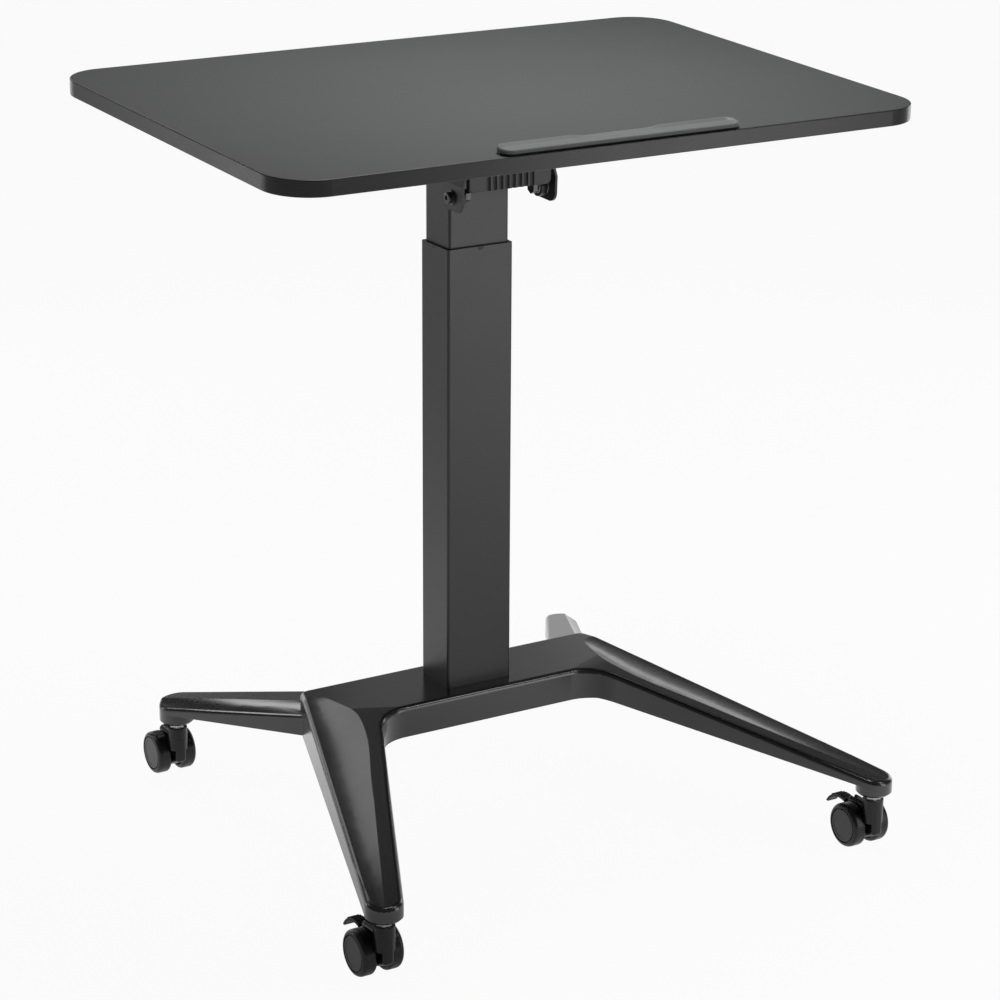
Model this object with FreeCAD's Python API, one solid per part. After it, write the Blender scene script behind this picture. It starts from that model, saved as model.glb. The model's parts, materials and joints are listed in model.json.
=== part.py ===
"""Mobile laptop desk: a tilting desktop on a gas-lift column over a cast base with four casters.

Millimetres, +Z up, +X to the user's right, -Y towards the user. The origin is on the floor, under the
middle of the object's box. Every piece is built with the column's axis at X = 0, Y = 0 and is moved by
COLUMN_Y when it is written. The desktop's own pieces are built level and turned by REST_TILT.
"""
import FreeCAD, Part
import math
import os

V = FreeCAD.Vector
X_AXIS = V(1, 0, 0)
Y_AXIS = V(0, 1, 0)
Z_AXIS = V(0, 0, 1)

# Tolerances for finding edges and faces
NEAR = 0.01  # two places closer than this are one place
PARALLEL = 0.999  # least cosine between parallel directions
WALL_LEAN = 0.02  # most rise in an upright wall's normal

# Desktop
DESK_WIDTH = 800.0
DESK_DEPTH = 560.0
DESK_THICKNESS = 18.0
DESK_CORNER_R = 52.0
DESK_TOP_Z = 868.0  # level, at the photographed height
DESK_FRONT_Y = -324.0
EDGE_BAND = 2.0
EDGE_BAND_R = 1.2
GLUE_LINE = 0.05
REST_TILT = 2.0  # degrees, rear edge up

# Stop strip on the desktop's front edge, with heights above the board
STRIP_LENGTH = 296.0
STRIP_DEPTH = 26.0
STRIP_SETBACK = 0.5
STRIP_SEAT = 1.0  # sunk into the board
STRIP_FOOT = 3.0  # the front lip overhangs the foot by this
STRIP_LIP_LOW = 2.5  # underside of the front lip
STRIP_FRONT = 6.5  # crest of the front lip
STRIP_BACK = 9.0  # crest of the back lip
STRIP_FRONT_R = 3.0
STRIP_BACK_R = 2.0
STRIP_TROUGH = 1.6  # below the line from lip to lip
STRIP_END_R = 12.0
STRIP_DIP_LENGTH = 84.0  # lower middle of the back lip
STRIP_DIP = 2.0
STRIP_RAMP = 12.0
SEAT_GAP = 0.2

# Tilt pivot and yoke
PIVOT_Y = -71.0
PIVOT_Z = 757.5
PIVOT_D = 8.0
PIVOT_GAP = 0.08
YOKE_SHEET = 3.0
LUG_JOGGLE = 3.0  # how far the lugs stand outside the cheeks
LUG_HALF = 23.0
LUG_DROP = 15.0
LUG_CORNER_R = 12.0
JOGGLE_LOW = 15.5  # above the pivot
JOGGLE_HIGH = 25.5
YOKE_FRONT = 38.0  # web, ahead of the pivot
YOKE_REAR = 165.0  # web, behind the pivot
YOKE_FLANGE = 14.0  # least cheek height below the web
YOKE_BEND_R = 5.0
WOOD_SCREW_D = 4.0
WOOD_SCREW_HEAD_D = 9.0
WOOD_SCREW_HEAD = 2.4
WOOD_SCREW_LENGTH = 14.0
WOOD_SCREW_X = 40.0
WOOD_SCREW_Y = [-24.0, 66.0, 151.0]  # from the pivot

# Pivot hardware
WASHER = 1.2
WASHER_D = 17.0
FRICTION_WASHER = 1.9
FRICTION_WASHER_D = 20.0
LUG_PLAY = 0.1  # on each face of a lug
BOLT_HEAD_D = 13.0
BOLT_HEAD = 5.5
BOLT_HEAD_R = 1.5
HEX_SOCKET = 5.0
HEX_SOCKET_DEPTH = 2.8
NUT_FLATS = 13.0
NUT = 6.5
DISC_SPRING = 1.6
DISC_SPRING_SHEET = 0.9
DISC_SPRING_D = 16.0
FIT_GAP = 0.05

# Head bracket
ARM = 5.0
ARM_HUB_R = 11.0
ARM_CLEAR = 6.0  # arms outside the outer tube
HUB_BOSS = 3.0
HEAD_PLATE = 5.0
HEAD_TOP_RISE = 18.0  # arms above the head plate's top
ARM_KNEE_Y = -30.0
ARM_REAR_CUT = 9.0

# Column
OUTER_X = 86.0
OUTER_Y = 61.0
INNER_X = 78.8
INNER_Y = 53.8
TUBE_WALL = 2.0
TUBE_CORNER_R = 3.0
RIM_Z = 686.0
INNER_TOP_Z = 790.0
INNER_LENGTH = 490.0
GLIDE_HEIGHT = 60.0
GLIDE_GAP = 0.3
NUB_R = 4.0
NUB_GAP = 0.2
LOWER_GLIDE = 45.0
LOWER_GLIDE_LIP = 2.0
LIFT_UP = 260.0

# Foot of the column
FOOT_PLATE = 8.0
FOOT_BOLT_D = 8.0
FOOT_BOLT_X = 27.0
FOOT_BOLT_Y = 15.0
FOOT_BOLT_HEAD_D = 14.0
FOOT_BOLT_HEAD = 5.0
BOLT_HOLE_GAP = 0.4

# Gas spring
CYLINDER_D = 28.0
CYLINDER_WALL = 2.0
CYLINDER_LENGTH = 440.0
CYLINDER_FLOOR = 4.0
ROD_D = 10.0
ROD_GAP = 0.08
PISTON = 14.0
PISTON_GAP = 0.3
PISTON_STOP = 2.0  # left between piston and gland at full height
GLAND = 18.0
GLAND_FLANGE = 4.0
PIN_D = 4.0
PIN_GAP = 0.08
PIN_LENGTH = 90.0
PIN_RISE = 12.0  # above the head plate
PIN_TRAVEL = 3.84
ROD_NUT = 5.0
ROD_NUT_FLATS = 17.0

# Release lever
LEVER_PIN_D = 6.0
LEVER_PIN_Y = -22.0
LEVER_PIN_DROP = 1.0  # lever pin's axis below the release pin's end
LEVER_STRIP = 3.0
LEVER_STRIP_WIDTH = 34.0
LEVER_HUB_R = 6.5
LEVER_GAP = 0.08
LEVER_TONGUE = 9.0  # past the release pin's axis
LEVER_CONTACT = 0.1
LEVER_BEND_Y = -48.0
PADDLE_HALF = 53.5
PADDLE_THICKNESS = 6.0
PADDLE_FACE_Y = -95.0
PADDLE_LOW_Z = 765.0
PADDLE_HEIGHT = 32.0
PADDLE_CORNER_R = 6.0
PADDLE_EDGE_R = 1.5
LEVER_FLANGE_LOW = 6.0  # above the paddle's lower edge
FLUTES = 8
FLUTE_PITCH = 8.1
FLUTE_R = 2.6

# Base
SPINE_TOP_Z = 154.0
SPINE_DEPTH = 38.0
SPINE_HALF = 54.0
FRONT_ROOT_X = 146.0
REAR_ROOT_X = 148.0
ROOT_FILLET_R = 50.0
BACK_CORNER_R = 14.0
NOTCH = V(203.0, 36.0, 0)  # where a rear leg's outer wall leaves the front leg's
FRONT_STEM = V(324.0, -379.0, 0)
REAR_STEM = V(277.0, 224.0, 0)
TIP_R = 21.0
FRONT_TIP_Z = 95.0
REAR_TIP_Z = 104.0
BOSS_LOW_Z = 72.0
BOSS_CHAMFER = 3.0
UNDERSIDE_SLOPE = 0.2
BASE_WALL = 5.0
RIB = 4.0
RIB_RECESS = 6.0  # ribs stop short of the walls' lower edge
COLUMN_PAD = 16.0  # thicker top under the column
COLUMN_PAD_HALF = 52.0
TOP_EDGE_R = 6.0
TOP_FADE = 0.4  # how far a slope or facet starts from the spine's top
FRONT_BEND = V(162.0, -14.0, 0)  # where the front leg starts to fall
FRONT_BEND_R = 260.0
REAR_BEND = V(150.0, 2.0, 0)  # inside the spine
REAR_BEND_R = 20.0
REAR_BURIED = 40.0  # rear leg's outer wall inside the spine
FRONT_RIDGE = [V(174.0, 20.0, 0), V(172.0, -45.0, 0), V(187.0, -95.0, 0)]  # then straight to the tip
FRONT_EDGE_TIP_Z = 95.0  # facets' outer edges
REAR_EDGE_Z = 131.0
REAR_EDGE_TIP_Z = 97.0
REAR_RIDGE_INSET = 16.0  # from the rear leg's outer wall
FACET_SAG = 3.0
FACET_SAG_SHARE = 0.33  # of the facet's drop, up to the most above
FACET_SAG_LEAST = 0.3
FACET_STATIONS = 9
FACET_LEAD = 8.0  # of the scoop, above the ridge
FACET_OVERRUN = 12.0  # of the scoop, past the leg's outer wall
FACET_PAST_TIP = 36.0
EDGE_ROLL_R = 4.5

# Casters, with sizes along Y taken from the stem's axis
WHEEL_R = 26.0
WHEEL_WIDTH = 17.0
WHEEL_SPREAD = 16.0  # between the two wheels
WHEEL_SHOULDER_R = 5.0
WHEEL_INNER_R = 3.5  # rounding of the tread's inner edge
WHEEL_RIM = 4.5
WHEEL_WEB = 6.0
WHEEL_HUB_R = 8.0
CAP_R = 20.5
CAP = 2.0
CAP_GAP = 0.35
TRAIL = 24.0
AXLE_D = 8.0
AXLE_GAP = 0.08
AXLE_END = 0.4  # axle's end short of the cap
WHEEL_GAP = 1.0
NECK_R = 12.0
NECK_TOP_Z = 64.5
NECK_LOW_Z = 36.0
HOOD_FRONT_Z = 22.0
HOOD_LOW_Z = 10.0
HOOD_LOW_HALF = 10.0
HOOD_REAR = 16.0  # behind the axle
HOOD_REAR_Z = 55.0
HOOD_CORNER_R = 5.0
STEM_D = 9.0
STEM_GAP = 0.08
STEM_LOW_Z = 34.0
COLLAR_FLATS = 16.0
COLLAR_GAP = 0.3
STUD_D = 10.0
STUD_LENGTH = 18.0
PEDAL_PIVOT_Y = 34.0
PEDAL_PIVOT_Z = 42.0
PEDAL_PIN_D = 4.0
PEDAL_PIN_GAP = 0.08
PEDAL_ROOT_R = 5.0
PEDAL_ROOT_WIDTH = 6.0
PEDAL_SIDE_GAP = 0.4
PEDAL_TREAD_Y = 45.0
PEDAL_TIP_Y = 80.0
PEDAL_TIP_Z = 33.0
PEDAL_CROWN_Z = 47.5
PEDAL_WIDTH = 13.0
PEDAL_SHEET = 3.5

REAR_REACH = REAR_STEM.y + TRAIL + WHEEL_R
FRONT_REACH = -FRONT_STEM.y + TIP_R
COLUMN_Y = (FRONT_REACH - REAR_REACH) / 2
DESK_LOW_Z = DESK_TOP_Z - DESK_THICKNESS
HEAD_TOP_Z = INNER_TOP_Z + HEAD_PLATE
PIN_TOP_Z = HEAD_TOP_Z + PIN_RISE
LEVER_PIN_Z = PIN_TOP_Z - LEVER_PIN_DROP
ARM_INNER_X = OUTER_X / 2 + ARM_CLEAR
ARM_OUTER_X = ARM_INNER_X + ARM
HUB_FACE_X = ARM_OUTER_X + HUB_BOSS
LUG_FACE_X = HUB_FACE_X + FRICTION_WASHER + LUG_PLAY + YOKE_SHEET
FOOT_TOP_Z = SPINE_TOP_Z + FOOT_PLATE
CYLINDER_TOP_Z = FOOT_TOP_Z + CYLINDER_LENGTH
BORE_R = CYLINDER_D / 2 - CYLINDER_WALL
PISTON_Z = CYLINDER_TOP_Z - GLAND - LIFT_UP - PISTON_STOP - PISTON


def box(x0, x1, y0, y1, z0, z1):
    """Block between two corners."""
    return Part.makeBox(x1 - x0, y1 - y0, z1 - z0, V(x0, y0, z0))


def rod_x(x0, x1, y, z, radius):
    """Round bar along X."""
    return Part.makeCylinder(radius, x1 - x0, V(x0, y, z), X_AXIS)


def rod_z(x, y, z0, z1, radius):
    """Round bar along Z."""
    return Part.makeCylinder(radius, z1 - z0, V(x, y, z0), Z_AXIS)


def hexagon(flats, x, y, z, axis, height):
    """Hexagonal bar of a width across flats, from a point along an axis."""
    radius = flats / math.sqrt(3)
    bar = Part.Face(Part.makePolygon([
        V(radius * math.cos(k * math.pi / 3), radius * math.sin(k * math.pi / 3), 0) for k in range(7)
    ])).extrude(V(0, 0, height))
    bar.Placement = FreeCAD.Placement(V(x, y, z), FreeCAD.Rotation(Z_AXIS, axis))
    return bar


def turned_x(profile, y, z):
    """Solid of revolution about an axis along X, from (x, radius) points."""
    wire = Part.makePolygon([V(x, y, z + r) for x, r in profile + profile[:1]])
    return Part.Face(wire).revolve(V(0, y, z), X_AXIS, 360)


def moved(shape, x, y, z):
    """A shifted copy."""
    copy = shape.copy()
    copy.translate(V(x, y, z))
    return copy


def mirrored(shape):
    """The same piece on the other side of the middle plane."""
    return shape.mirror(V(0, 0, 0), X_AXIS)


def mirrored_point(point):
    """A plan point on the other side of the middle plane."""
    return V(-point.x, point.y, point.z)


def pair(shape):
    """Left and right copies as separate solids of one group."""
    return Part.makeCompound([shape, mirrored(shape)])


def edges_along(solid, axis):
    """Straight edges that run along an axis."""
    found = []
    for edge in solid.Edges:
        if len(edge.Vertexes) == 2 and isinstance(edge.Curve, Part.Line):
            if abs(edge.Curve.Direction.dot(axis)) > PARALLEL:
                found.append(edge)
    return found


def edges_at(solid, *plan_points):
    """Upright edges over given plan points."""
    return [e for e in edges_along(solid, Z_AXIS)
            if any(math.hypot(e.Vertexes[0].X - p.x, e.Vertexes[0].Y - p.y) < NEAR for p in plan_points)]


def rounded_bar(width, depth, radius, z0, z1):
    """Upright bar on the column's axis with rounded corners."""
    bar = box(-width / 2, width / 2, -depth / 2, depth / 2, z0, z1)
    return bar.makeFillet(radius, edges_along(bar, Z_AXIS))


def extruded_x(points, x0, x1):
    """Outline of (y, z) points carried along X."""
    wire = Part.makePolygon([V(x0, y, z) for y, z in points + points[:1]])
    return Part.Face(wire).extrude(V(x1 - x0, 0, 0))


def tangent_point(point, centre, radius, side):
    """Where a line from a point touches a circle; side is 1 or -1."""
    to_point = point - centre
    swing = side * math.degrees(math.acos(radius / to_point.Length))
    return centre + FreeCAD.Rotation(Z_AXIS, swing).multVec(to_point.normalize()) * radius


def spaced(start, end, count):
    """Evenly spaced points on a straight line."""
    return [start + (end - start) * (k / (count - 1)) for k in range(count)]


def tilted(shape):
    """A desktop piece, built level, at its rest tilt."""
    turned = shape.copy()
    turned.rotate(V(0, PIVOT_Y, PIVOT_Z), X_AXIS, REST_TILT)
    return turned


# Base casting

class LegSlope:
    """Top of a leg seen from its side: level at its start, bent over a radius, then straight to the tip."""

    def __init__(self, start, stem, level, tip_z, bend_r):
        self.start = start
        self.reach = (stem - start).Length
        self.along = (stem - start).normalize()
        self.level = level
        self.bend_r = bend_r
        rise = bend_r - (level - tip_z)
        swing = math.acos(bend_r / math.hypot(self.reach, rise))
        self.lean = math.pi / 2 - math.atan2(rise, self.reach) - swing
        self.bend_end = bend_r * math.sin(self.lean)

    def height_at(self, s):
        """Height at a distance from the start."""
        if s <= 0:
            return self.level
        if s < self.bend_end:
            return self.level - self.bend_r + math.sqrt(self.bend_r ** 2 - s ** 2)
        bend_drop = self.bend_r * (1 - math.cos(self.lean))
        return self.level - bend_drop - (s - self.bend_end) * math.tan(self.lean)

    def on_top(self, point):
        """A plan point lifted onto the leg's top."""
        return V(point.x, point.y, self.height_at((point - self.start).dot(self.along)))

    def space_above(self):
        """Everything over the leg's top, as a solid to cut with."""
        across = V(-self.along.y, self.along.x, 0)
        half_span = self.reach / 2
        far = self.reach + 2 * TIP_R
        roof = self.level + SPINE_DEPTH

        def at(s, z):
            return self.start + self.along * s - across * half_span + V(0, 0, z)

        bend = [at(s, self.height_at(s)) for s in (0, self.bend_r * math.sin(self.lean / 2), self.bend_end)]
        corners = [bend[2], at(far, self.height_at(far)), at(far, roof), at(0, roof), bend[0]]
        sides = [Part.makeLine(a, b) for a, b in zip(corners, corners[1:])]
        outline = Part.Wire([Part.Arc(*bend).toShape()] + sides)
        return Part.Face(outline).extrude(across * 2 * half_span)


FRONT_SLOPE = LegSlope(FRONT_BEND, FRONT_STEM, SPINE_TOP_Z + TOP_FADE, FRONT_TIP_Z, FRONT_BEND_R)
REAR_SLOPE = LegSlope(REAR_BEND, REAR_STEM, SPINE_TOP_Z - TOP_FADE, REAR_TIP_Z, REAR_BEND_R)


def tip_arc(start, stem, end):
    """Arc round a leg's tip, on the side away from the spine."""
    outward = (stem - V(FRONT_ROOT_X, 0, 0)).normalize()
    return Part.Arc(start, stem + outward * TIP_R, end).toShape()


def spine_slab():
    """Plan of the spine and front legs carried up to the spine's top."""
    root = V(FRONT_ROOT_X, -SPINE_HALF, 0)
    inner = tangent_point(root, FRONT_STEM, TIP_R, 1)
    outer = tangent_point(NOTCH, FRONT_STEM, TIP_R, -1)
    corner = NOTCH + (NOTCH - outer) * ((SPINE_HALF - NOTCH.y) / (NOTCH.y - outer.y))
    middle_front = V(0, -SPINE_HALF, 0)
    middle_rear = V(0, SPINE_HALF, 0)
    half = Part.Face(Part.Wire([
        Part.makeLine(middle_front, root),
        Part.makeLine(root, inner),
        tip_arc(inner, FRONT_STEM, outer),
        Part.makeLine(outer, corner),
        Part.makeLine(corner, middle_rear),
        Part.makeLine(middle_rear, middle_front),
    ])).extrude(V(0, 0, SPINE_TOP_Z))
    half = half.makeFillet(ROOT_FILLET_R, edges_at(half, root))
    half = half.makeFillet(BACK_CORNER_R, edges_at(half, corner))
    return half.fuse(mirrored(half)).removeSplitter().Solids[0]


def rear_slab():
    """Plan of the right rear leg, from inside the spine to its tip, carried up to its highest level."""
    root = V(REAR_ROOT_X, SPINE_HALF, 0)
    inner = tangent_point(root, REAR_STEM, TIP_R, -1)
    outer = tangent_point(NOTCH, REAR_STEM, TIP_R, 1)
    buried = NOTCH - (outer - NOTCH).normalize() * REAR_BURIED
    start = V(root.x - 2 * ROOT_FILLET_R, SPINE_HALF, 0)
    start_in = V(start.x, buried.y, 0)
    slab = Part.Face(Part.Wire([
        Part.makeLine(start, root),
        Part.makeLine(root, inner),
        tip_arc(inner, REAR_STEM, outer),
        Part.makeLine(outer, buried),
        Part.makeLine(buried, start_in),
        Part.makeLine(start_in, start),
    ])).extrude(V(0, 0, REAR_SLOPE.level))
    return slab.makeFillet(ROOT_FILLET_R, edges_at(slab, root))


def scoop(ridge, end, sag):
    """Arc that sags between a ridge and a lower end, begun above the ridge for a clean crossing."""
    arc = Part.Arc(ridge, (ridge + end) * 0.5 - V(0, 0, sag), end).toShape()
    lead = FACET_LEAD / arc.Curve.Radius
    return Part.Edge(arc.Curve, arc.FirstParameter - lead, arc.LastParameter)


def facet_space(stations, rolled):
    """Everything over a scooped facet, which rolls over the leg's outer edge or runs on past it."""
    roof = SPINE_TOP_Z + SPINE_DEPTH
    bulge = EDGE_ROLL_R * (1 - math.sqrt(0.5))
    sections = []
    for ridge, edge in stations:
        across = V(edge.x - ridge.x, edge.y - ridge.y, 0).normalize()
        sag = min(FACET_SAG, max(FACET_SAG_LEAST, (ridge.z - edge.z) * FACET_SAG_SHARE))
        if rolled:
            brink = edge - across * EDGE_ROLL_R
            middle = edge - across * bulge - V(0, 0, bulge)
            foot = edge - V(0, 0, EDGE_ROLL_R)
            out = foot + across * FACET_OVERRUN
            roll = Part.Arc(brink, middle, foot).toShape()
            floor = [scoop(ridge, brink, sag), roll, Part.makeLine(foot, out)]
        else:
            out = edge + (edge - ridge).normalize() * FACET_OVERRUN
            floor = [scoop(ridge, out, sag)]
        top = floor[0].valueAt(floor[0].FirstParameter)
        corners = [out, V(out.x, out.y, roof), V(top.x, top.y, roof), top]
        sections.append(Part.Wire(floor + [Part.makeLine(a, b) for a, b in zip(corners, corners[1:])]))
    return Part.makeLoft(sections, True, False)


def front_facet():
    """Space over the right front leg's facet, which is nothing on the spine and again at the tip."""
    outer = tangent_point(NOTCH, FRONT_STEM, TIP_R, -1)
    tip = FRONT_STEM + (FRONT_STEM - FRONT_RIDGE[-1]).normalize() * FACET_PAST_TIP
    curve = Part.BSplineCurve()
    curve.interpolate(FRONT_RIDGE + spaced(FRONT_RIDGE[-1], tip, FACET_STATIONS)[1:])
    ridge = [FRONT_SLOPE.on_top(p) for p in curve.discretize(FACET_STATIONS)]
    start = NOTCH + V(0, 0, SPINE_TOP_Z + TOP_FADE)
    end = outer + V(0, 0, FRONT_EDGE_TIP_Z)
    edge = spaced(start, end + (end - start).normalize() * FACET_PAST_TIP, FACET_STATIONS)
    return facet_space(zip(ridge, edge), True)


def rear_facet():
    """Space over the right rear leg's facet, which starts inside the spine."""
    start = NOTCH + V(0, 0, REAR_EDGE_Z)
    end = tangent_point(NOTCH, REAR_STEM, TIP_R, 1) + V(0, 0, REAR_EDGE_TIP_Z)
    along = (end - start).normalize()
    inward = V(-along.y, along.x, 0).normalize() * REAR_RIDGE_INSET
    edge = spaced(start - along * REAR_BURIED, end + along * FACET_PAST_TIP, FACET_STATIONS)
    return facet_space([(REAR_SLOPE.on_top(p + inward), p) for p in edge], False)


def boss(stem):
    """Round boss that holds a caster's stem, chamfered below."""
    cone = Part.makeCone(TIP_R - BOSS_CHAMFER, TIP_R, BOSS_CHAMFER, stem + V(0, 0, BOSS_LOW_Z))
    return cone.fuse(rod_z(stem.x, stem.y, BOSS_LOW_Z + BOSS_CHAMFER, SPINE_TOP_Z, TIP_R))


def underside_space():
    """Everything below the spine's lower edge and the legs' falling lower edges."""
    low = SPINE_TOP_Z - SPINE_DEPTH
    far = FRONT_STEM.x + 2 * TIP_R
    drop = UNDERSIDE_SLOPE * (far - FRONT_ROOT_X)
    floor = -SPINE_DEPTH
    outline = [(-far, floor), (far, floor), (far, low - drop), (FRONT_ROOT_X, low),
               (-FRONT_ROOT_X, low), (-far, low - drop)]
    wire = Part.makePolygon([V(x, -far * 2, z) for x, z in outline + outline[:1]])
    return Part.Face(wire).extrude(V(0, 4 * far, 0))


def top_edges(solid):
    """Edges between the upright walls and the top."""
    def is_wall(face):
        u0, u1, v0, v1 = face.ParameterRange
        return abs(face.normalAt((u0 + u1) / 2, (v0 + v1) / 2).z) < WALL_LEAN

    found = []
    for edge in solid.Edges:
        faces = solid.ancestorsOfType(edge, Part.Face)
        above_floor = edge.BoundBox.ZMax > NEAR
        if above_floor and len(faces) == 2 and is_wall(faces[0]) != is_wall(faces[1]):
            found.append(edge)
    return found


def rib(start, end):
    """Upright web between two plan points."""
    along = end - start
    across = V(-along.y, along.x, 0).normalize() * (RIB / 2)
    outline = Part.makePolygon([start + across, end + across, end - across, start - across, start + across])
    return Part.Face(outline).extrude(V(0, 0, SPINE_TOP_Z))


def space_inside(slab, tops):
    """A slab's plan inset by the wall, below its tops lowered by the wall."""
    floor_face = [f for f in slab.Faces if f.BoundBox.ZMax < NEAR][0]
    space = floor_face.makeOffset2D(-BASE_WALL).extrude(V(0, 0, slab.BoundBox.ZMax - BASE_WALL))
    for top in tops:
        space = space.cut(moved(top, 0, 0, -BASE_WALL))
    return space


def base_ribs(underside):
    """Webs under the spine and along the legs, short of the walls' lower edge."""
    front_knee = V(FRONT_ROOT_X, -NOTCH.y / 2, 0)
    rear_knee = V(REAR_ROOT_X, NOTCH.y, 0)
    webs = [rib(V(COLUMN_PAD_HALF, -SPINE_HALF / 2, 0), front_knee), rib(front_knee, FRONT_STEM),
            rib(V(COLUMN_PAD_HALF, SPINE_HALF / 2, 0), rear_knee), rib(rear_knee, REAR_STEM),
            rib(V(COLUMN_PAD_HALF, -SPINE_HALF, 0), V(COLUMN_PAD_HALF, SPINE_HALF, 0)),
            rib(front_knee, rear_knee)]
    return webs[0].fuse(webs[1:] + [mirrored(w) for w in webs]).cut(moved(underside, 0, 0, RIB_RECESS))


def base_casting():
    """Hollow casting with ridged, twisted legs, ribbed inside and open below."""
    bosses = Part.makeCompound([boss(FRONT_STEM), boss(REAR_STEM),
                                mirrored(boss(FRONT_STEM)), mirrored(boss(REAR_STEM))])
    underside = underside_space()

    slab = spine_slab()
    facet = front_facet()
    front_tops = [FRONT_SLOPE.space_above(), mirrored(FRONT_SLOPE.space_above())]
    front_facets = [facet, mirrored(facet)]
    body = slab
    for top in front_tops:
        body = body.cut(top)
    body = body.removeSplitter().Solids[0]
    body = body.makeFillet(TOP_EDGE_R, top_edges(body))
    for top in front_facets:
        body = body.cut(top)

    leg_slab = rear_slab()
    leg_tops = [REAR_SLOPE.space_above(), rear_facet()]
    leg = leg_slab.cut(leg_tops[0]).removeSplitter().Solids[0].cut(leg_tops[1]).Solids[0]
    outside_spine = [e for e in top_edges(leg) if e.BoundBox.YMax > SPINE_HALF + TOP_FADE]
    leg = leg.makeFillet(TOP_EDGE_R, outside_spine)
    body = body.fuse([leg, mirrored(leg)]).removeSplitter()
    body = body.cut(underside.cut(bosses))

    leg_space = space_inside(leg_slab, leg_tops)
    hollow = space_inside(slab, front_tops + front_facets).fuse([leg_space, mirrored(leg_space)])
    pad = box(-COLUMN_PAD_HALF, COLUMN_PAD_HALF, -SPINE_HALF, SPINE_HALF,
              SPINE_TOP_Z - COLUMN_PAD, SPINE_TOP_Z)
    body = body.cut(hollow.cut(pad).cut(base_ribs(underside)).cut(bosses))
    for stem in (FRONT_STEM, REAR_STEM):
        socket = rod_z(stem.x, stem.y, 0, BOSS_LOW_Z + STUD_LENGTH, STUD_D / 2 + FIT_GAP)
        body = body.cut(socket).cut(mirrored(socket))
    for x, y in foot_bolt_places():
        body = body.cut(rod_z(x, y, 0, SPINE_TOP_Z, FOOT_BOLT_D / 2 + BOLT_HOLE_GAP))
    return max(body.Solids, key=lambda s: s.Volume)


# Column

def tube(width, depth, z0, z1):
    """Upright rectangular tube with rounded corners."""
    outside = rounded_bar(width, depth, TUBE_CORNER_R, z0, z1)
    inside = rounded_bar(width - 2 * TUBE_WALL, depth - 2 * TUBE_WALL, TUBE_CORNER_R - TUBE_WALL, z0, z1)
    return outside.cut(inside)


def rim_notches(radius):
    """Round bars across the outer tube's walls, in the middle of each side of its rim."""
    across_x = rod_x(-OUTER_X / 2, OUTER_X / 2, 0, RIM_Z, radius)
    across_y = Part.makeCylinder(radius, OUTER_Y, V(0, -OUTER_Y / 2, RIM_Z), Y_AXIS)
    return across_x.fuse(across_y)


def outer_tube():
    """Lower tube, notched at its rim for the sleeve."""
    return tube(OUTER_X, OUTER_Y, SPINE_TOP_Z, RIM_Z).cut(rim_notches(NUB_R))


def upper_glide():
    """Plastic sleeve in the outer tube's mouth, keyed by a nub in each rim notch."""
    low = RIM_Z - GLIDE_HEIGHT
    sleeve = rounded_bar(OUTER_X - 2 * TUBE_WALL, OUTER_Y - 2 * TUBE_WALL, TUBE_WALL, low, RIM_Z)
    nubs = rim_notches(NUB_R - NUB_GAP).common(rounded_bar(OUTER_X, OUTER_Y, TUBE_CORNER_R, low, RIM_Z))
    passage = rounded_bar(INNER_X + 2 * GLIDE_GAP, INNER_Y + 2 * GLIDE_GAP, TUBE_CORNER_R, low, RIM_Z)
    return sleeve.fuse(nubs).cut(passage).removeSplitter()


def inner_tube():
    """Upper tube, which slides in the sleeve."""
    return tube(INNER_X, INNER_Y, INNER_TOP_Z - INNER_LENGTH, INNER_TOP_Z)


def lower_glide():
    """Plastic shoe round the inner tube's lower end, with a lip under the tube."""
    low = INNER_TOP_Z - INNER_LENGTH
    gap = 2 * (TUBE_WALL + GLIDE_GAP)
    shoe = rounded_bar(OUTER_X - gap, OUTER_Y - gap, TUBE_WALL, low - LOWER_GLIDE_LIP, low + LOWER_GLIDE)
    seat = rounded_bar(INNER_X, INNER_Y, TUBE_CORNER_R - TUBE_WALL, low, low + LOWER_GLIDE)
    mouth = rounded_bar(INNER_X - 2 * TUBE_WALL, INNER_Y - 2 * TUBE_WALL, TUBE_CORNER_R - TUBE_WALL,
                        low - LOWER_GLIDE_LIP, low)
    return shoe.cut(seat).cut(mouth)


def foot_bolt_places():
    """Plan places of the bolts that hold the column."""
    return [(x, y) for x in (-FOOT_BOLT_X, FOOT_BOLT_X) for y in (-FOOT_BOLT_Y, FOOT_BOLT_Y)]


def foot_plate():
    """Plate in the outer tube's lower end that takes the bolts from below."""
    plate = rounded_bar(OUTER_X - 2 * TUBE_WALL, OUTER_Y - 2 * TUBE_WALL, TUBE_WALL, SPINE_TOP_Z, FOOT_TOP_Z)
    for x, y in foot_bolt_places():
        plate = plate.cut(rod_z(x, y, SPINE_TOP_Z, FOOT_TOP_Z, FOOT_BOLT_D / 2 + FIT_GAP))
    return plate


def foot_bolts():
    """Hexagon bolts up through the casting's pad into the foot plate."""
    seat = SPINE_TOP_Z - COLUMN_PAD
    bolts = []
    for x, y in foot_bolt_places():
        head = hexagon(FOOT_BOLT_HEAD_D, x, y, seat - FOOT_BOLT_HEAD, Z_AXIS, FOOT_BOLT_HEAD)
        bolts.append(head.fuse(rod_z(x, y, seat, FOOT_TOP_Z, FOOT_BOLT_D / 2)))
    return Part.makeCompound(bolts)


# Gas spring

def gas_cylinder():
    """Steel cylinder that stands on the foot plate, open at its top for the gland."""
    body = rod_z(0, 0, FOOT_TOP_Z, CYLINDER_TOP_Z, CYLINDER_D / 2)
    return body.cut(rod_z(0, 0, FOOT_TOP_Z + CYLINDER_FLOOR, CYLINDER_TOP_Z, BORE_R))


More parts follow.
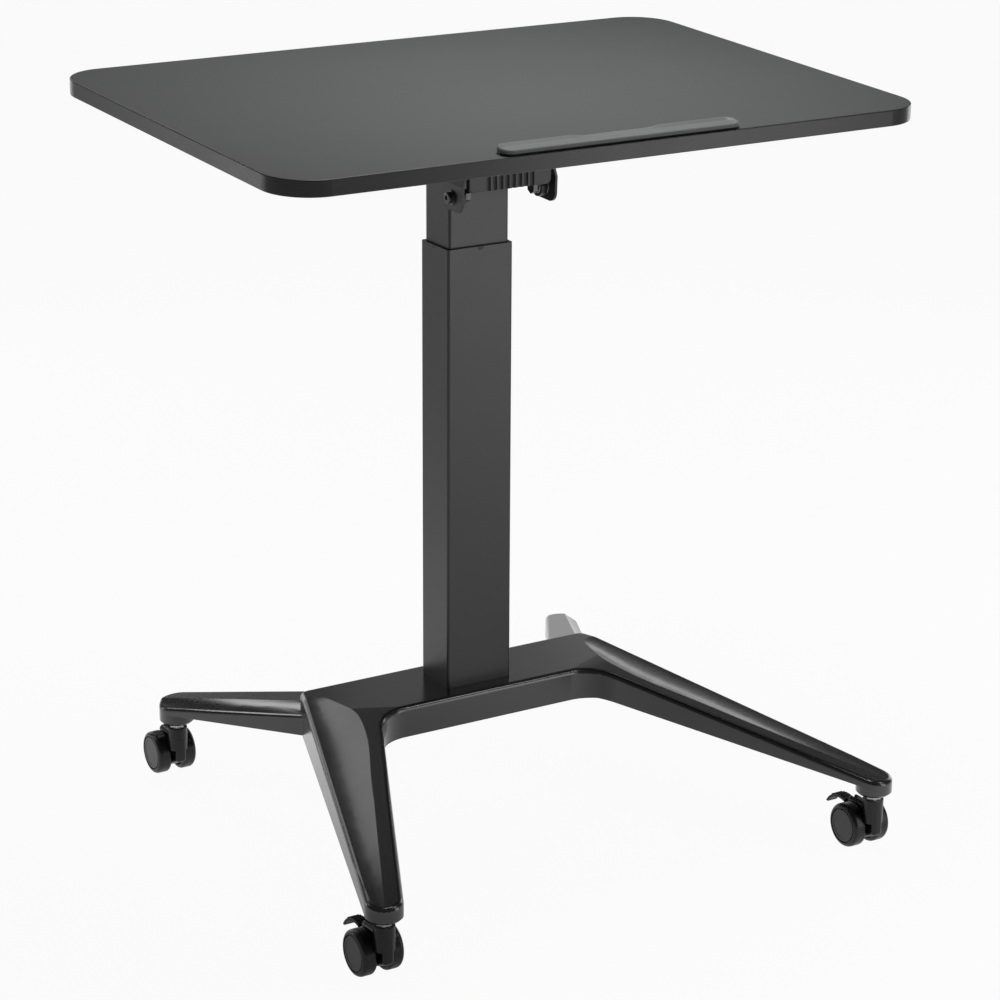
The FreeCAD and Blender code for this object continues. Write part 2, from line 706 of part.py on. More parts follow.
def gas_gland():
    """Guide that closes the cylinder round the rod, with a flange on its rim."""
    plug = rod_z(0, 0, CYLINDER_TOP_Z - GLAND, CYLINDER_TOP_Z, BORE_R - FIT_GAP)
    flange = rod_z(0, 0, CYLINDER_TOP_Z, CYLINDER_TOP_Z + GLAND_FLANGE, CYLINDER_D / 2)
    hole = rod_z(0, 0, CYLINDER_TOP_Z - GLAND, CYLINDER_TOP_Z + GLAND_FLANGE, ROD_D / 2 + ROD_GAP)
    return plug.fuse(flange).cut(hole).removeSplitter()


def gas_rod():
    """Piston rod, drilled from its top for the release pin."""
    top = HEAD_TOP_Z + ROD_NUT
    drilling = rod_z(0, 0, PIN_TOP_Z - PIN_LENGTH - 2 * PIN_TRAVEL, top, PIN_D / 2 + PIN_GAP)
    return rod_z(0, 0, PISTON_Z, top, ROD_D / 2).cut(drilling)


def gas_piston():
    """Piston at the rod's lower end."""
    ring = rod_z(0, 0, PISTON_Z, PISTON_Z + PISTON, BORE_R - PISTON_GAP)
    groove_low = PISTON_Z + PISTON / 3
    groove = rod_z(0, 0, groove_low, groove_low + PISTON / 3, BORE_R)
    groove = groove.cut(rod_z(0, 0, groove_low, groove_low + PISTON / 3, BORE_R - CYLINDER_WALL))
    return ring.cut(groove).cut(rod_z(0, 0, PISTON_Z, PISTON_Z + PISTON, ROD_D / 2 + FIT_GAP))


def rod_nuts():
    """Nuts above and below the head plate."""
    nuts = []
    for z in (INNER_TOP_Z - ROD_NUT, HEAD_TOP_Z):
        nut = hexagon(ROD_NUT_FLATS, 0, 0, z, Z_AXIS, ROD_NUT)
        nuts.append(nut.cut(rod_z(0, 0, z, z + ROD_NUT, ROD_D / 2 + FIT_GAP)))
    return Part.makeCompound(nuts)


def release_pin():
    """Pin in the rod that opens the valve, with a domed end."""
    low = PIN_TOP_Z - PIN_LENGTH
    pin = rod_z(0, 0, low, PIN_TOP_Z - PIN_D / 2, PIN_D / 2)
    return pin.fuse(Part.makeSphere(PIN_D / 2, V(0, 0, PIN_TOP_Z - PIN_D / 2))).removeSplitter()


# Head bracket and tilt pivot

def head_bracket():
    """Plate on the inner tube with two arms that reach forward and down to the pivot."""
    hub = V(PIVOT_Y, PIVOT_Z, 0)
    top = HEAD_TOP_Z + HEAD_TOP_RISE
    rear = INNER_Y / 2
    top_knee = V(ARM_KNEE_Y, top, 0)
    low_knee = V(ARM_KNEE_Y, INNER_TOP_Z, 0)
    top_touch = tangent_point(top_knee, hub, ARM_HUB_R, 1)
    low_touch = tangent_point(low_knee, hub, ARM_HUB_R, -1)
    outline = [(rear, INNER_TOP_Z), (rear, top - ARM_REAR_CUT), (rear - 2 * ARM_REAR_CUT, top),
               (top_knee.x, top_knee.y), (top_touch.x, top_touch.y), (hub.x, hub.y),
               (low_touch.x, low_touch.y), (low_knee.x, low_knee.y)]
    arm = extruded_x(outline, ARM_INNER_X, ARM_OUTER_X)
    arm = arm.fuse(rod_x(ARM_INNER_X, HUB_FACE_X, PIVOT_Y, PIVOT_Z, ARM_HUB_R)).removeSplitter()
    arm = arm.cut(rod_x(ARM_INNER_X, HUB_FACE_X, PIVOT_Y, PIVOT_Z, PIVOT_D / 2 + FIT_GAP))
    arm = arm.cut(rod_x(ARM_INNER_X, ARM_OUTER_X, LEVER_PIN_Y, LEVER_PIN_Z, LEVER_PIN_D / 2 + FIT_GAP))
    plate = box(-ARM_INNER_X, ARM_INNER_X, -rear, rear, INNER_TOP_Z, HEAD_TOP_Z)
    plate = plate.cut(rod_z(0, 0, INNER_TOP_Z, HEAD_TOP_Z, ROD_D / 2 + FIT_GAP))
    return plate.fuse([arm, mirrored(arm)]).removeSplitter()


def pivot_ring(x0, thickness, diameter):
    """Flat ring on the pivot, on the right-hand side."""
    ring = rod_x(x0, x0 + thickness, PIVOT_Y, PIVOT_Z, diameter / 2)
    return ring.cut(rod_x(x0, x0 + thickness, PIVOT_Y, PIVOT_Z, PIVOT_D / 2 + FIT_GAP))


def pivot_bolts():
    """Socket-head bolts through lug, washers and arm."""
    seat = LUG_FACE_X + LUG_PLAY + WASHER
    end = ARM_INNER_X - DISC_SPRING - NUT
    head = rod_x(seat, seat + BOLT_HEAD, PIVOT_Y, PIVOT_Z, BOLT_HEAD_D / 2)
    rim = [e for e in head.Edges if e.BoundBox.XMin > seat + BOLT_HEAD - NEAR]
    head = head.makeFillet(BOLT_HEAD_R, rim)
    socket_x = seat + BOLT_HEAD - HEX_SOCKET_DEPTH
    socket = hexagon(HEX_SOCKET, socket_x, PIVOT_Y, PIVOT_Z, X_AXIS, HEX_SOCKET_DEPTH)
    return pair(head.cut(socket).fuse(rod_x(end, seat, PIVOT_Y, PIVOT_Z, PIVOT_D / 2)))


def disc_springs():
    """Coned washers between arm and nut that keep the friction up."""
    inside = PIVOT_D / 2 + FIT_GAP
    x = ARM_INNER_X
    outside = DISC_SPRING_D / 2
    profile = [(x - DISC_SPRING + DISC_SPRING_SHEET, inside), (x, outside),
               (x - DISC_SPRING_SHEET, outside), (x - DISC_SPRING, inside)]
    return pair(turned_x(profile, PIVOT_Y, PIVOT_Z))


def pivot_nuts():
    """Hexagon nuts inside the arms."""
    x = ARM_INNER_X - DISC_SPRING - NUT
    nut = hexagon(NUT_FLATS, x, PIVOT_Y, PIVOT_Z, X_AXIS, NUT)
    return pair(nut.cut(rod_x(x, x + NUT, PIVOT_Y, PIVOT_Z, PIVOT_D / 2 + FIT_GAP)))


# Release lever

def lever_pin():
    """Pin between the arms that the release lever turns on."""
    return rod_x(-ARM_OUTER_X, ARM_OUTER_X, LEVER_PIN_Y, LEVER_PIN_Z, LEVER_PIN_D / 2)


def lever_arm():
    """Bent strip on a sleeve: a tongue over the release pin and a flange behind the paddle."""
    half = LEVER_STRIP_WIDTH / 2
    low = PIN_TOP_Z + LEVER_CONTACT
    high = low + LEVER_STRIP
    back = PADDLE_FACE_Y + PADDLE_THICKNESS
    flange_top = PADDLE_LOW_Z + PADDLE_HEIGHT
    flange_low = PADDLE_LOW_Z + LEVER_FLANGE_LOW
    front = back + LEVER_STRIP
    outline = [(LEVER_TONGUE, low), (LEVER_BEND_Y, low), (front, flange_top - LEVER_STRIP),
               (front, flange_low), (back, flange_low), (back, flange_top),
               (LEVER_BEND_Y, high), (LEVER_TONGUE, high)]
    strip = extruded_x(outline, -half, half)
    sleeve = rod_x(-half, half, LEVER_PIN_Y, LEVER_PIN_Z, LEVER_HUB_R)
    bore = rod_x(-half, half, LEVER_PIN_Y, LEVER_PIN_Z, LEVER_PIN_D / 2 + LEVER_GAP)
    return strip.fuse(sleeve).cut(bore).removeSplitter()


def release_paddle():
    """Finger plate with upright flutes."""
    back = PADDLE_FACE_Y + PADDLE_THICKNESS
    top = PADDLE_LOW_Z + PADDLE_HEIGHT
    plate = box(-PADDLE_HALF, PADDLE_HALF, PADDLE_FACE_Y, back, PADDLE_LOW_Z, top)
    plate = plate.makeFillet(PADDLE_CORNER_R, edges_along(plate, Y_AXIS))
    rim = [e for e in plate.Edges if e.BoundBox.YMax < PADDLE_FACE_Y + NEAR]
    plate = plate.makeFillet(PADDLE_EDGE_R, rim)
    for k in range(FLUTES):
        x = (k - (FLUTES - 1) / 2) * FLUTE_PITCH
        plate = plate.cut(rod_z(x, PADDLE_FACE_Y, PADDLE_LOW_Z, top, FLUTE_R))
    return plate


# Desktop

def desk_slab(inset, z0, z1):
    """Desktop plan with rounded corners, inset all round."""
    half = DESK_WIDTH / 2 - inset
    slab = box(-half, half, DESK_FRONT_Y + inset, DESK_FRONT_Y + DESK_DEPTH - inset, z0, z1)
    return slab.makeFillet(DESK_CORNER_R - inset, edges_along(slab, Z_AXIS))


def screw_places():
    """Plan places of the screws that hold the yoke."""
    return [(x, PIVOT_Y + y) for x in (-WOOD_SCREW_X, WOOD_SCREW_X) for y in WOOD_SCREW_Y]


def desktop_board():
    """Board with a shallow seat for the stop strip and pilot holes below."""
    board = desk_slab(EDGE_BAND + GLUE_LINE, DESK_LOW_Z, DESK_TOP_Z)
    heel = DESK_FRONT_Y + STRIP_SETBACK + STRIP_FOOT
    behind_heel = box(-DESK_WIDTH, DESK_WIDTH, heel - SEAT_GAP, DESK_DEPTH, DESK_LOW_Z, 2 * DESK_TOP_Z)
    board = board.cut(strip_plan(SEAT_GAP, DESK_TOP_Z - STRIP_SEAT, DESK_TOP_Z + 1).common(behind_heel))
    depth = WOOD_SCREW_LENGTH - YOKE_SHEET
    for x, y in screw_places():
        board = board.cut(rod_z(x, y, DESK_LOW_Z, DESK_LOW_Z + depth, WOOD_SCREW_D / 2 + FIT_GAP))
    return tilted(board)


def desktop_edge_band():
    """Band round the board with eased edges."""
    band = desk_slab(0, DESK_LOW_Z, DESK_TOP_Z)
    outer = [e for f in band.Faces if abs(f.normalAt(0, 0).z) > PARALLEL for e in f.Edges]
    band = band.makeFillet(EDGE_BAND_R, outer)
    return tilted(band.cut(desk_slab(EDGE_BAND, DESK_LOW_Z, DESK_TOP_Z)))


def strip_plan(margin, z0, z1):
    """Round-ended plan of the stop strip, larger by a margin all round."""
    half = STRIP_LENGTH / 2 + margin
    front = DESK_FRONT_Y + STRIP_SETBACK
    slab = box(-half, half, front - margin, front + STRIP_DEPTH + margin, z0, z1)
    return slab.makeFillet(STRIP_END_R + margin, edges_along(slab, Z_AXIS))


def strip_section(x, dip):
    """Section of the stop strip: overhanging front lip, shallow trough and a higher back lip."""
    front = DESK_FRONT_Y + STRIP_SETBACK
    heel = front + STRIP_FOOT
    back = front + STRIP_DEPTH
    foot = DESK_TOP_Z - STRIP_SEAT
    lip_low = DESK_TOP_Z + STRIP_LIP_LOW
    front_top = DESK_TOP_Z + STRIP_FRONT
    back_top = DESK_TOP_Z + STRIP_BACK - dip
    corner = 1 - math.sqrt(0.5)

    def p(y, z):
        return V(x, y, z)

    front_crest = p(front + STRIP_FRONT_R, front_top)
    front_knee = p(front, front_top - STRIP_FRONT_R)
    front_bulge = p(front + STRIP_FRONT_R * corner, front_top - STRIP_FRONT_R * corner)
    back_crest = p(back - STRIP_BACK_R, back_top)
    back_knee = p(back, back_top - STRIP_BACK_R)
    back_bulge = p(back - STRIP_BACK_R * corner, back_top - STRIP_BACK_R * corner)
    trough = (front_crest + back_crest) * 0.5 - V(0, 0, STRIP_TROUGH)
    return Part.Wire([
        Part.makeLine(p(heel, foot), p(heel, lip_low)),
        Part.makeLine(p(heel, lip_low), p(front, lip_low)),
        Part.makeLine(p(front, lip_low), front_knee),
        Part.Arc(front_knee, front_bulge, front_crest).toShape(),
        Part.Arc(front_crest, trough, back_crest).toShape(),
        Part.Arc(back_crest, back_bulge, back_knee).toShape(),
        Part.makeLine(back_knee, p(back, foot)),
        Part.makeLine(p(back, foot), p(heel, foot)),
    ])


def stop_strip():
    """Round-ended strip that keeps things from sliding off, its back lip lower along the middle."""
    end = STRIP_LENGTH / 2
    dip_in = STRIP_DIP_LENGTH / 2
    dip_out = dip_in + STRIP_RAMP
    stations = [(-end, 0), (-dip_out, 0), (-dip_in, STRIP_DIP), (dip_in, STRIP_DIP), (dip_out, 0), (end, 0)]
    bar = Part.makeLoft([strip_section(x, dip) for x, dip in stations], True, True)
    return tilted(bar.common(strip_plan(0, DESK_LOW_Z, DESK_TOP_Z + 2 * STRIP_BACK)))


def tilt_yoke():
    """Bent sheet: a web under the desktop and two cheeks joggled out to the pivot lugs."""
    lug_out = LUG_FACE_X
    cheek_out = LUG_FACE_X - LUG_JOGGLE
    web_low = DESK_LOW_Z - YOKE_SHEET
    low = PIVOT_Z - LUG_DROP
    joggle_low = PIVOT_Z + JOGGLE_LOW
    joggle_high = PIVOT_Z + JOGGLE_HIGH
    y0 = PIVOT_Y - YOKE_FRONT
    y1 = PIVOT_Y + YOKE_REAR

    outside = [(lug_out, low), (lug_out, joggle_low), (cheek_out, joggle_high), (cheek_out, DESK_LOW_Z)]
    inside = [(x - YOKE_SHEET, min(z, web_low)) for x, z in outside]
    right = outside + [(0, DESK_LOW_Z), (0, web_low)] + inside[::-1]
    wire = Part.makePolygon([V(x, y0, z) for x, z in right + right[:1]])
    half = Part.Face(wire).extrude(V(0, y1 - y0, 0))
    bends = [(cheek_out, DESK_LOW_Z, YOKE_BEND_R),
             (cheek_out - YOKE_SHEET, web_low, YOKE_BEND_R - YOKE_SHEET)]
    for x, z, radius in bends:
        bend = [e for e in edges_along(half, Y_AXIS)
                if math.hypot(e.Vertexes[0].X - x, e.Vertexes[0].Z - z) < NEAR]
        half = half.makeFillet(radius, bend)

    lug_y0 = PIVOT_Y - LUG_HALF
    lug_y1 = PIVOT_Y + LUG_HALF
    flange_low = web_low - YOKE_FLANGE
    side = extruded_x([(lug_y0, low), (lug_y1, low), (lug_y1, joggle_high),
                       (y1, flange_low), (y1, DESK_LOW_Z), (y0, DESK_LOW_Z),
                       (y0, flange_low), (lug_y0, joggle_high)], 0, lug_out)
    corners = [e for e in edges_along(side, X_AXIS) if e.BoundBox.ZMax < low + NEAR]
    side = side.makeFillet(LUG_CORNER_R, corners)
    half = half.common(side)
    half = half.cut(rod_x(0, lug_out, PIVOT_Y, PIVOT_Z, PIVOT_D / 2 + PIVOT_GAP))
    for x, y in screw_places():
        half = half.cut(rod_z(x, y, web_low, DESK_LOW_Z, WOOD_SCREW_D / 2 + FIT_GAP))
    return tilted(half.fuse(mirrored(half)).removeSplitter())


def yoke_screws():
    """Round-head screws up through the web into the board."""
    seat = DESK_LOW_Z - YOKE_SHEET
    screws = []
    for x, y in screw_places():
        head = rod_z(x, y, seat - WOOD_SCREW_HEAD, seat, WOOD_SCREW_HEAD_D / 2)
        rim = [e for e in head.Edges if e.BoundBox.ZMax < seat - WOOD_SCREW_HEAD + NEAR]
        head = head.makeFillet(WOOD_SCREW_HEAD / 2, rim)
        screws.append(head.fuse(rod_z(x, y, seat, seat + WOOD_SCREW_LENGTH, WOOD_SCREW_D / 2)))
    return tilted(Part.makeCompound(screws))


# Casters, built with the stem's axis at X = 0, Y = 0 and the wheels trailing towards +Y

def caster_stem():
    """Stud in the base's boss, hexagon collar and the stem that the hood turns on."""
    collar_z = NECK_TOP_Z + COLLAR_GAP
    collar = hexagon(COLLAR_FLATS, 0, 0, collar_z, Z_AXIS, BOSS_LOW_Z - collar_z)
    stud = rod_z(0, 0, BOSS_LOW_Z, BOSS_LOW_Z + STUD_LENGTH, STUD_D / 2)
    return collar.fuse([stud, rod_z(0, 0, STEM_LOW_Z, collar_z, STEM_D / 2)])


def caster_hood(braked):
    """Neck on the stem and a web between the wheels; a braked one is slotted for its pedal."""
    half = WHEEL_SPREAD / 2 - WHEEL_GAP
    web = extruded_x([(-NECK_R, HOOD_FRONT_Z), (TRAIL - HOOD_LOW_HALF, HOOD_LOW_Z),
                      (TRAIL + HOOD_LOW_HALF, HOOD_LOW_Z), (TRAIL + HOOD_REAR, WHEEL_R),
                      (TRAIL + HOOD_REAR, HOOD_REAR_Z), (-NECK_R, HOOD_REAR_Z)], -half, half)
    web = web.makeFillet(HOOD_CORNER_R, edges_along(web, X_AXIS))
    front = [e for e in edges_along(web, Z_AXIS) if e.BoundBox.YMax < 0]
    web = web.makeFillet(HOOD_CORNER_R, front)
    neck = rod_z(0, 0, NECK_LOW_Z, NECK_TOP_Z, NECK_R)
    for side in (-1, 1):
        start = min(side * half, side * 2 * NECK_R)
        neck = neck.cut(rod_x(start, start + 2 * NECK_R - half, TRAIL, WHEEL_R, WHEEL_R + WHEEL_GAP))
    hood = web.fuse(neck).removeSplitter()
    hood = hood.cut(rod_z(0, 0, STEM_LOW_Z - COLLAR_GAP, NECK_TOP_Z, STEM_D / 2 + STEM_GAP))
    hood = hood.cut(rod_x(-half, half, TRAIL, WHEEL_R, AXLE_D / 2 + FIT_GAP))
    if braked:
        slot = PEDAL_ROOT_WIDTH / 2 + PEDAL_SIDE_GAP
        reach = PEDAL_ROOT_R + 2 * PEDAL_SIDE_GAP
        hood = hood.cut(box(-slot, slot, PEDAL_PIVOT_Y - reach, TRAIL + 2 * HOOD_REAR,
                            PEDAL_PIVOT_Z - reach, NECK_TOP_Z))
        hood = hood.cut(rod_x(-half, half, PEDAL_PIVOT_Y, PEDAL_PIVOT_Z, PEDAL_PIN_D / 2 + PEDAL_PIN_GAP))
    return hood


def caster_axle():
    """Pin through the hood that both wheels run on."""
    end = WHEEL_SPREAD / 2 + WHEEL_WIDTH - CAP - AXLE_END
    return rod_x(-end, end, TRAIL, WHEEL_R, AXLE_D / 2)


def caster_wheel():
    """Right-hand wheel: tread with a rounded shoulder, web, hub and a seat for its cap."""
    x0 = WHEEL_SPREAD / 2
    x1 = x0 + WHEEL_WIDTH
    seat = x1 - CAP
    rim_in = WHEEL_R - WHEEL_RIM
    bore = AXLE_D / 2 + AXLE_GAP
    web = seat - WHEEL_WEB
    cap_in = CAP_R + CAP_GAP
    profile = [(x0, bore), (x0, WHEEL_HUB_R), (web, WHEEL_HUB_R), (web, rim_in), (x0, rim_in),
               (x0, WHEEL_R), (x1, WHEEL_R), (x1, cap_in), (seat, cap_in), (seat, bore)]
    wheel = turned_x(profile, TRAIL, WHEEL_R)
    for x, radius in ((x1, WHEEL_SHOULDER_R), (x0, WHEEL_INNER_R)):
        rim = [e for e in wheel.Edges if abs(e.BoundBox.Center.x - x) < NEAR
               and e.BoundBox.ZLength > 2 * WHEEL_R - NEAR]
        wheel = wheel.makeFillet(radius, rim)
    return wheel


def caster_cap():
    """Right-hand wheel's cap with an eased edge."""
    x1 = WHEEL_SPREAD / 2 + WHEEL_WIDTH
    cap = rod_x(x1 - CAP, x1, TRAIL, WHEEL_R, CAP_R)
    rim = [e for e in cap.Edges if e.BoundBox.XMin > x1 - NEAR]
    return cap.makeFillet(CAP / 2, rim)


def brake_pedal():
    """Arched tread with a curled tip, on a root that turns on its own pins in the hood's slot."""
    def p(y, z):
        return V(-PEDAL_WIDTH / 2, y, z)

    middle = (PEDAL_TREAD_Y + PEDAL_TIP_Y) / 2
    start_z = PEDAL_PIVOT_Z + PEDAL_ROOT_R
    start = p(PEDAL_TREAD_Y, start_z)
    start_low = p(PEDAL_TREAD_Y, start_z - PEDAL_SHEET)
    tip = p(PEDAL_TIP_Y, PEDAL_TIP_Z)
    tip_in = p(PEDAL_TIP_Y - PEDAL_SHEET, PEDAL_TIP_Z)
    outline = Part.Wire([
        Part.Arc(start, p(middle, PEDAL_CROWN_Z), tip).toShape(),
        Part.makeLine(tip, tip_in),
        Part.Arc(tip_in, p(middle, PEDAL_CROWN_Z - PEDAL_SHEET), start_low).toShape(),
        Part.makeLine(start_low, start),
    ])
    tread = Part.Face(outline).extrude(V(PEDAL_WIDTH, 0, 0))
    half = PEDAL_ROOT_WIDTH / 2
    root = rod_x(-half, half, PEDAL_PIVOT_Y, PEDAL_PIVOT_Z, PEDAL_ROOT_R)
    neck = box(-half, half, PEDAL_PIVOT_Y, PEDAL_TREAD_Y + PEDAL_SHEET, start_z - PEDAL_SHEET, start_z)
    end = WHEEL_SPREAD / 2 - WHEEL_GAP
    pins = rod_x(-end, end, PEDAL_PIVOT_Y, PEDAL_PIVOT_Z, PEDAL_PIN_D / 2)
    return tread.fuse([root, neck, pins]).removeSplitter()


def all_pieces():
    """Every piece by its node name."""
    stems = {"fl": mirrored_point(FRONT_STEM), "fr": FRONT_STEM,
             "rl": mirrored_point(REAR_STEM), "rr": REAR_STEM}
    pieces = {
        "base_casting": base_casting(),
        "outer_tube": outer_tube(),
        "upper_glide": upper_glide(),
        "foot_plate": foot_plate(),
        "foot_bolts": foot_bolts(),
        "gas_cylinder": gas_cylinder(),
        "gas_gland": gas_gland(),
        "caster_stems": Part.makeCompound([moved(caster_stem(), s.x, s.y, 0) for s in stems.values()]),
        "inner_tube": inner_tube(),
        "lower_glide": lower_glide(),
        "gas_rod": gas_rod(),
        "gas_piston": gas_piston(),
        "rod_nuts": rod_nuts(),
        "release_pin": release_pin(),
        "head_bracket": head_bracket(),
        "friction_washers": pair(pivot_ring(HUB_FACE_X, FRICTION_WASHER, FRICTION_WASHER_D)),
        "pivot_washers": pair(pivot_ring(LUG_FACE_X + LUG_PLAY, WASHER, WASHER_D)),
        "pivot_bolts": pivot_bolts(),
        "disc_springs": disc_springs(),
        "pivot_nuts": pivot_nuts(),
        "lever_pin": lever_pin(),
        "lever_arm": lever_arm(),
        "release_paddle": release_paddle(),
        "desktop_board": desktop_board(),
        "desktop_edge_band": desktop_edge_band(),
        "stop_strip": stop_strip(),
        "tilt_yoke": tilt_yoke(),
        "yoke_screws": yoke_screws(),
    }
    wheel = caster_wheel()
    cap = caster_cap()
    for place, stem in stems.items():
        front = place[0] == "f"
        own = {
            "hood": caster_hood(front),
            "axle": caster_axle(),
            "wheel_r": wheel,
            "wheel_l": mirrored(wheel),
            "cap_r": cap,
            "cap_l": mirrored(cap),
        }
        if front:
            own["brake_pedal"] = brake_pedal()
        for name, shape in own.items():
            pieces["caster_" + place + "_" + name] = moved(shape, stem.x, stem.y, 0)
    return pieces


os.makedirs("parts", exist_ok=True)
for node, shape in all_pieces().items():
    if not shape.isValid():
        raise ValueError(node + " is not a valid solid")
    moved(shape, 0, COLUMN_Y, 0).exportStep("parts/" + node + ".step")
    print(node, len(shape.Solids), round(shape.Volume))
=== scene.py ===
"""Finishes, fine pieces and studio for a mobile laptop desk. Metres, +Z up, the user sits at -Y."""
import json
import math
from typing import NamedTuple

import bmesh
import bpy
from mathutils import Matrix, Vector


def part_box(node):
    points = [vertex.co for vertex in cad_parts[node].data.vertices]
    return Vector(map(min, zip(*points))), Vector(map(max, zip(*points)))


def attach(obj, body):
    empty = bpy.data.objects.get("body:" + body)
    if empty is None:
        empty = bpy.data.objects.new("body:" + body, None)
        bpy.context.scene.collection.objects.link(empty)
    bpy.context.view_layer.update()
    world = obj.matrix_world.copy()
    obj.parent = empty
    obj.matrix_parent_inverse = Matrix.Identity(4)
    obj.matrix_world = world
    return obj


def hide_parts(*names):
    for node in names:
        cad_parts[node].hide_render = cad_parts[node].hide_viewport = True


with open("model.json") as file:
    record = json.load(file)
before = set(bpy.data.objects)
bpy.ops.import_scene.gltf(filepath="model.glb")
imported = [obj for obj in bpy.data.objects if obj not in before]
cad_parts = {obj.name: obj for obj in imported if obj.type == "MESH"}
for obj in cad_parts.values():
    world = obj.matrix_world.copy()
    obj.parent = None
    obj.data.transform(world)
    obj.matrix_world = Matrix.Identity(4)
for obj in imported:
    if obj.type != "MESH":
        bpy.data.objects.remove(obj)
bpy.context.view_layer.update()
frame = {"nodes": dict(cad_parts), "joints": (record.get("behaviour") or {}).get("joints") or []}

bl_info = {
    "name": "Mobile laptop desk",
    "version": (1, 0, 0),
    "blender": (4, 5, 0),
    "location": "3D View > Sidebar > Desk",
    "description": "Dresses a tilting laptop desk on a gas-lift column and sets up its studio",
    "category": "Object",
}

NODES = frame["nodes"]
CASTERS = ("fl", "fr", "rl", "rr")
SIDES = ("l", "r")
WHITE = (1, 1, 1, 1)

# Points closer than this, in metres, are one point, and edges that turn more than the angle stay sharp.
NEAR = 1e-6
SHARP_ANGLE = math.radians(40)

# Noise patterns: how many finer layers each has, their weight in the grain, the grain's share in the gloss,
# and the part of the noise's range that the gloss uses.
GRAIN_LAYERS = 2.0
GRAIN_WEIGHT = 0.55
CLOUD_LAYERS = 3.0
GRAIN_IN_GLOSS = 0.4
NOISE_LOW = 0.3
NOISE_HIGH = 0.7

# Samples that a material takes to round its edges.
EDGE_SAMPLES = 4

# Stop strip: its end radius as a share of its depth, and the steps of each curve.
STRIP_END_SHARE = 0.45
STRIP_END_STEPS = 8
RIM_STEPS = 5
DISH_STEPS = 4

# Steps round the turned pieces and across their rounded rims.
SCREW_STEPS = 32
HEAD_ROUND_STEPS = 4
CAP_STEPS = 64
CAP_ROUND_STEPS = 4

# Pedal ridges: share of the pedal's width, rounding of the ends as a share of the half width, steps, and the
# height in metres over the pedal from which its surface is looked for.
RIDGE_WIDTH_SHARE = 0.84
RIDGE_END_SHARE = 0.6
RIDGE_SIDES = 16
RIDGE_END_STEPS = 3
RIDGE_SEARCH = 0.01

# Camera's frame in millimetres, and how far it sees in metres.
FRAME_WIDTH = 36.0
SIGHT = 200.0

# Floor's painted white pool in reflections: it fades to a dim share between two distances from the middle, in
# metres.
POOL_START = 0.6
POOL_END = 2.8
POOL_DIM = 0.25


class PaintedShadeZone(NamedTuple):
    """A round zone of painted shade on the floor, in metres, where reflections show a share of its white."""
    centre: tuple
    inner: float
    outer: float
    share: float


# Painted shadow of the desk on the floor, and a painted dark patch behind it on the left, both seen only in
# reflections.
PAINTED_SHADE_ZONES = (
    PaintedShadeZone(centre=(-0.35, -0.35, 0.0), inner=0.15, outer=0.9, share=0.35),
    PaintedShadeZone(centre=(-1.3, 2.2, 0.0), inner=0.6, outer=2.1, share=0.3),
)


class SoftBox(NamedTuple):
    """A rectangular studio lamp: its place, the point it faces, width and height, watts, beam in degrees."""
    name: str
    place: tuple
    aim: tuple
    size: tuple
    watts: float
    beam: float = 180.0


# Each is named for where it stands or for what it lights.
SOFT_BOXES = (
    SoftBox("top_box", (0.1, 0.0, 1.75), (0.1, 0.0, 0.5), (0.6, 0.6), 4.6, beam=110.0),
    SoftBox("back_box", (0.1, 2.25, 2.06), (-0.2, -0.05, 0.13), (1.4, 0.8), 3.8),
    SoftBox("rear_box", (0.6, 0.95, 2.2), (-0.25, 0.2, 0.12), (0.5, 0.5), 1.2),
    SoftBox("front_box", (1.5, -1.6, 2.6), (0.0, 0.0, 0.3), (0.5, 0.5), 4.6),
    SoftBox("side_box", (0.8, -1.25, 0.5), (0.0, 0.06, 0.5), (0.5, 0.9), 2.7),
    SoftBox("edge_box", (-1.2, 1.15, 0.42), (-0.4, -0.1, 0.86), (0.45, 0.6), 1.15),
    SoftBox("leg_box", (-0.99, 0.79, 1.03), (-0.21, 0.14, 0.13), (0.36, 0.36), 0.11, beam=40.0),
    SoftBox("right_fill", (2.1, 0.5, 0.75), (0.0, 0.0, 0.4), (0.8, 1.2), 5.0),
    SoftBox("rear_fill", (-0.3, 2.3, 0.75), (0.0, 0.0, 0.4), (1.0, 1.2), 5.0),
    SoftBox("panel_box", (1.5, 1.95, 1.08), (0.12, 0.05, 0.15), (1.2, 0.5), 0.35),
    SoftBox("facet_box", (1.85, 1.68, 0.7), (0.23, -0.09, 0.13), (1.2, 0.3), 1.35),
)


def linear(hex_colour):
    """sRGB hex as linear red, green and blue."""
    parts = [int(hex_colour[k:k + 2], 16) / 255 for k in (0, 2, 4)]
    return [p / 12.92 if p <= 0.04045 else ((p + 0.055) / 1.055) ** 2.4 for p in parts]


def colour_of(hex_colour, name, description):
    """A colour that the user can change."""
    return bpy.props.FloatVectorProperty(name=name, description=description, subtype="COLOR", size=3,
                                         min=0.0, max=1.0, default=linear(hex_colour))


def length_of(millimetres, name, description):
    """A length that the user can change."""
    return bpy.props.FloatProperty(name=name, description=description, unit="LENGTH", subtype="DISTANCE",
                                   min=0.0, default=millimetres / 1000)


def angle_of(degrees, name, description):
    """An angle that the user can change."""
    return bpy.props.FloatProperty(name=name, description=description, subtype="ANGLE",
                                   default=math.radians(degrees))


def share_of(share, name, description):
    """A share from 0 to 1 that the user can change."""
    return bpy.props.FloatProperty(name=name, description=description, subtype="FACTOR", min=0.0, max=1.0,
                                   default=share)


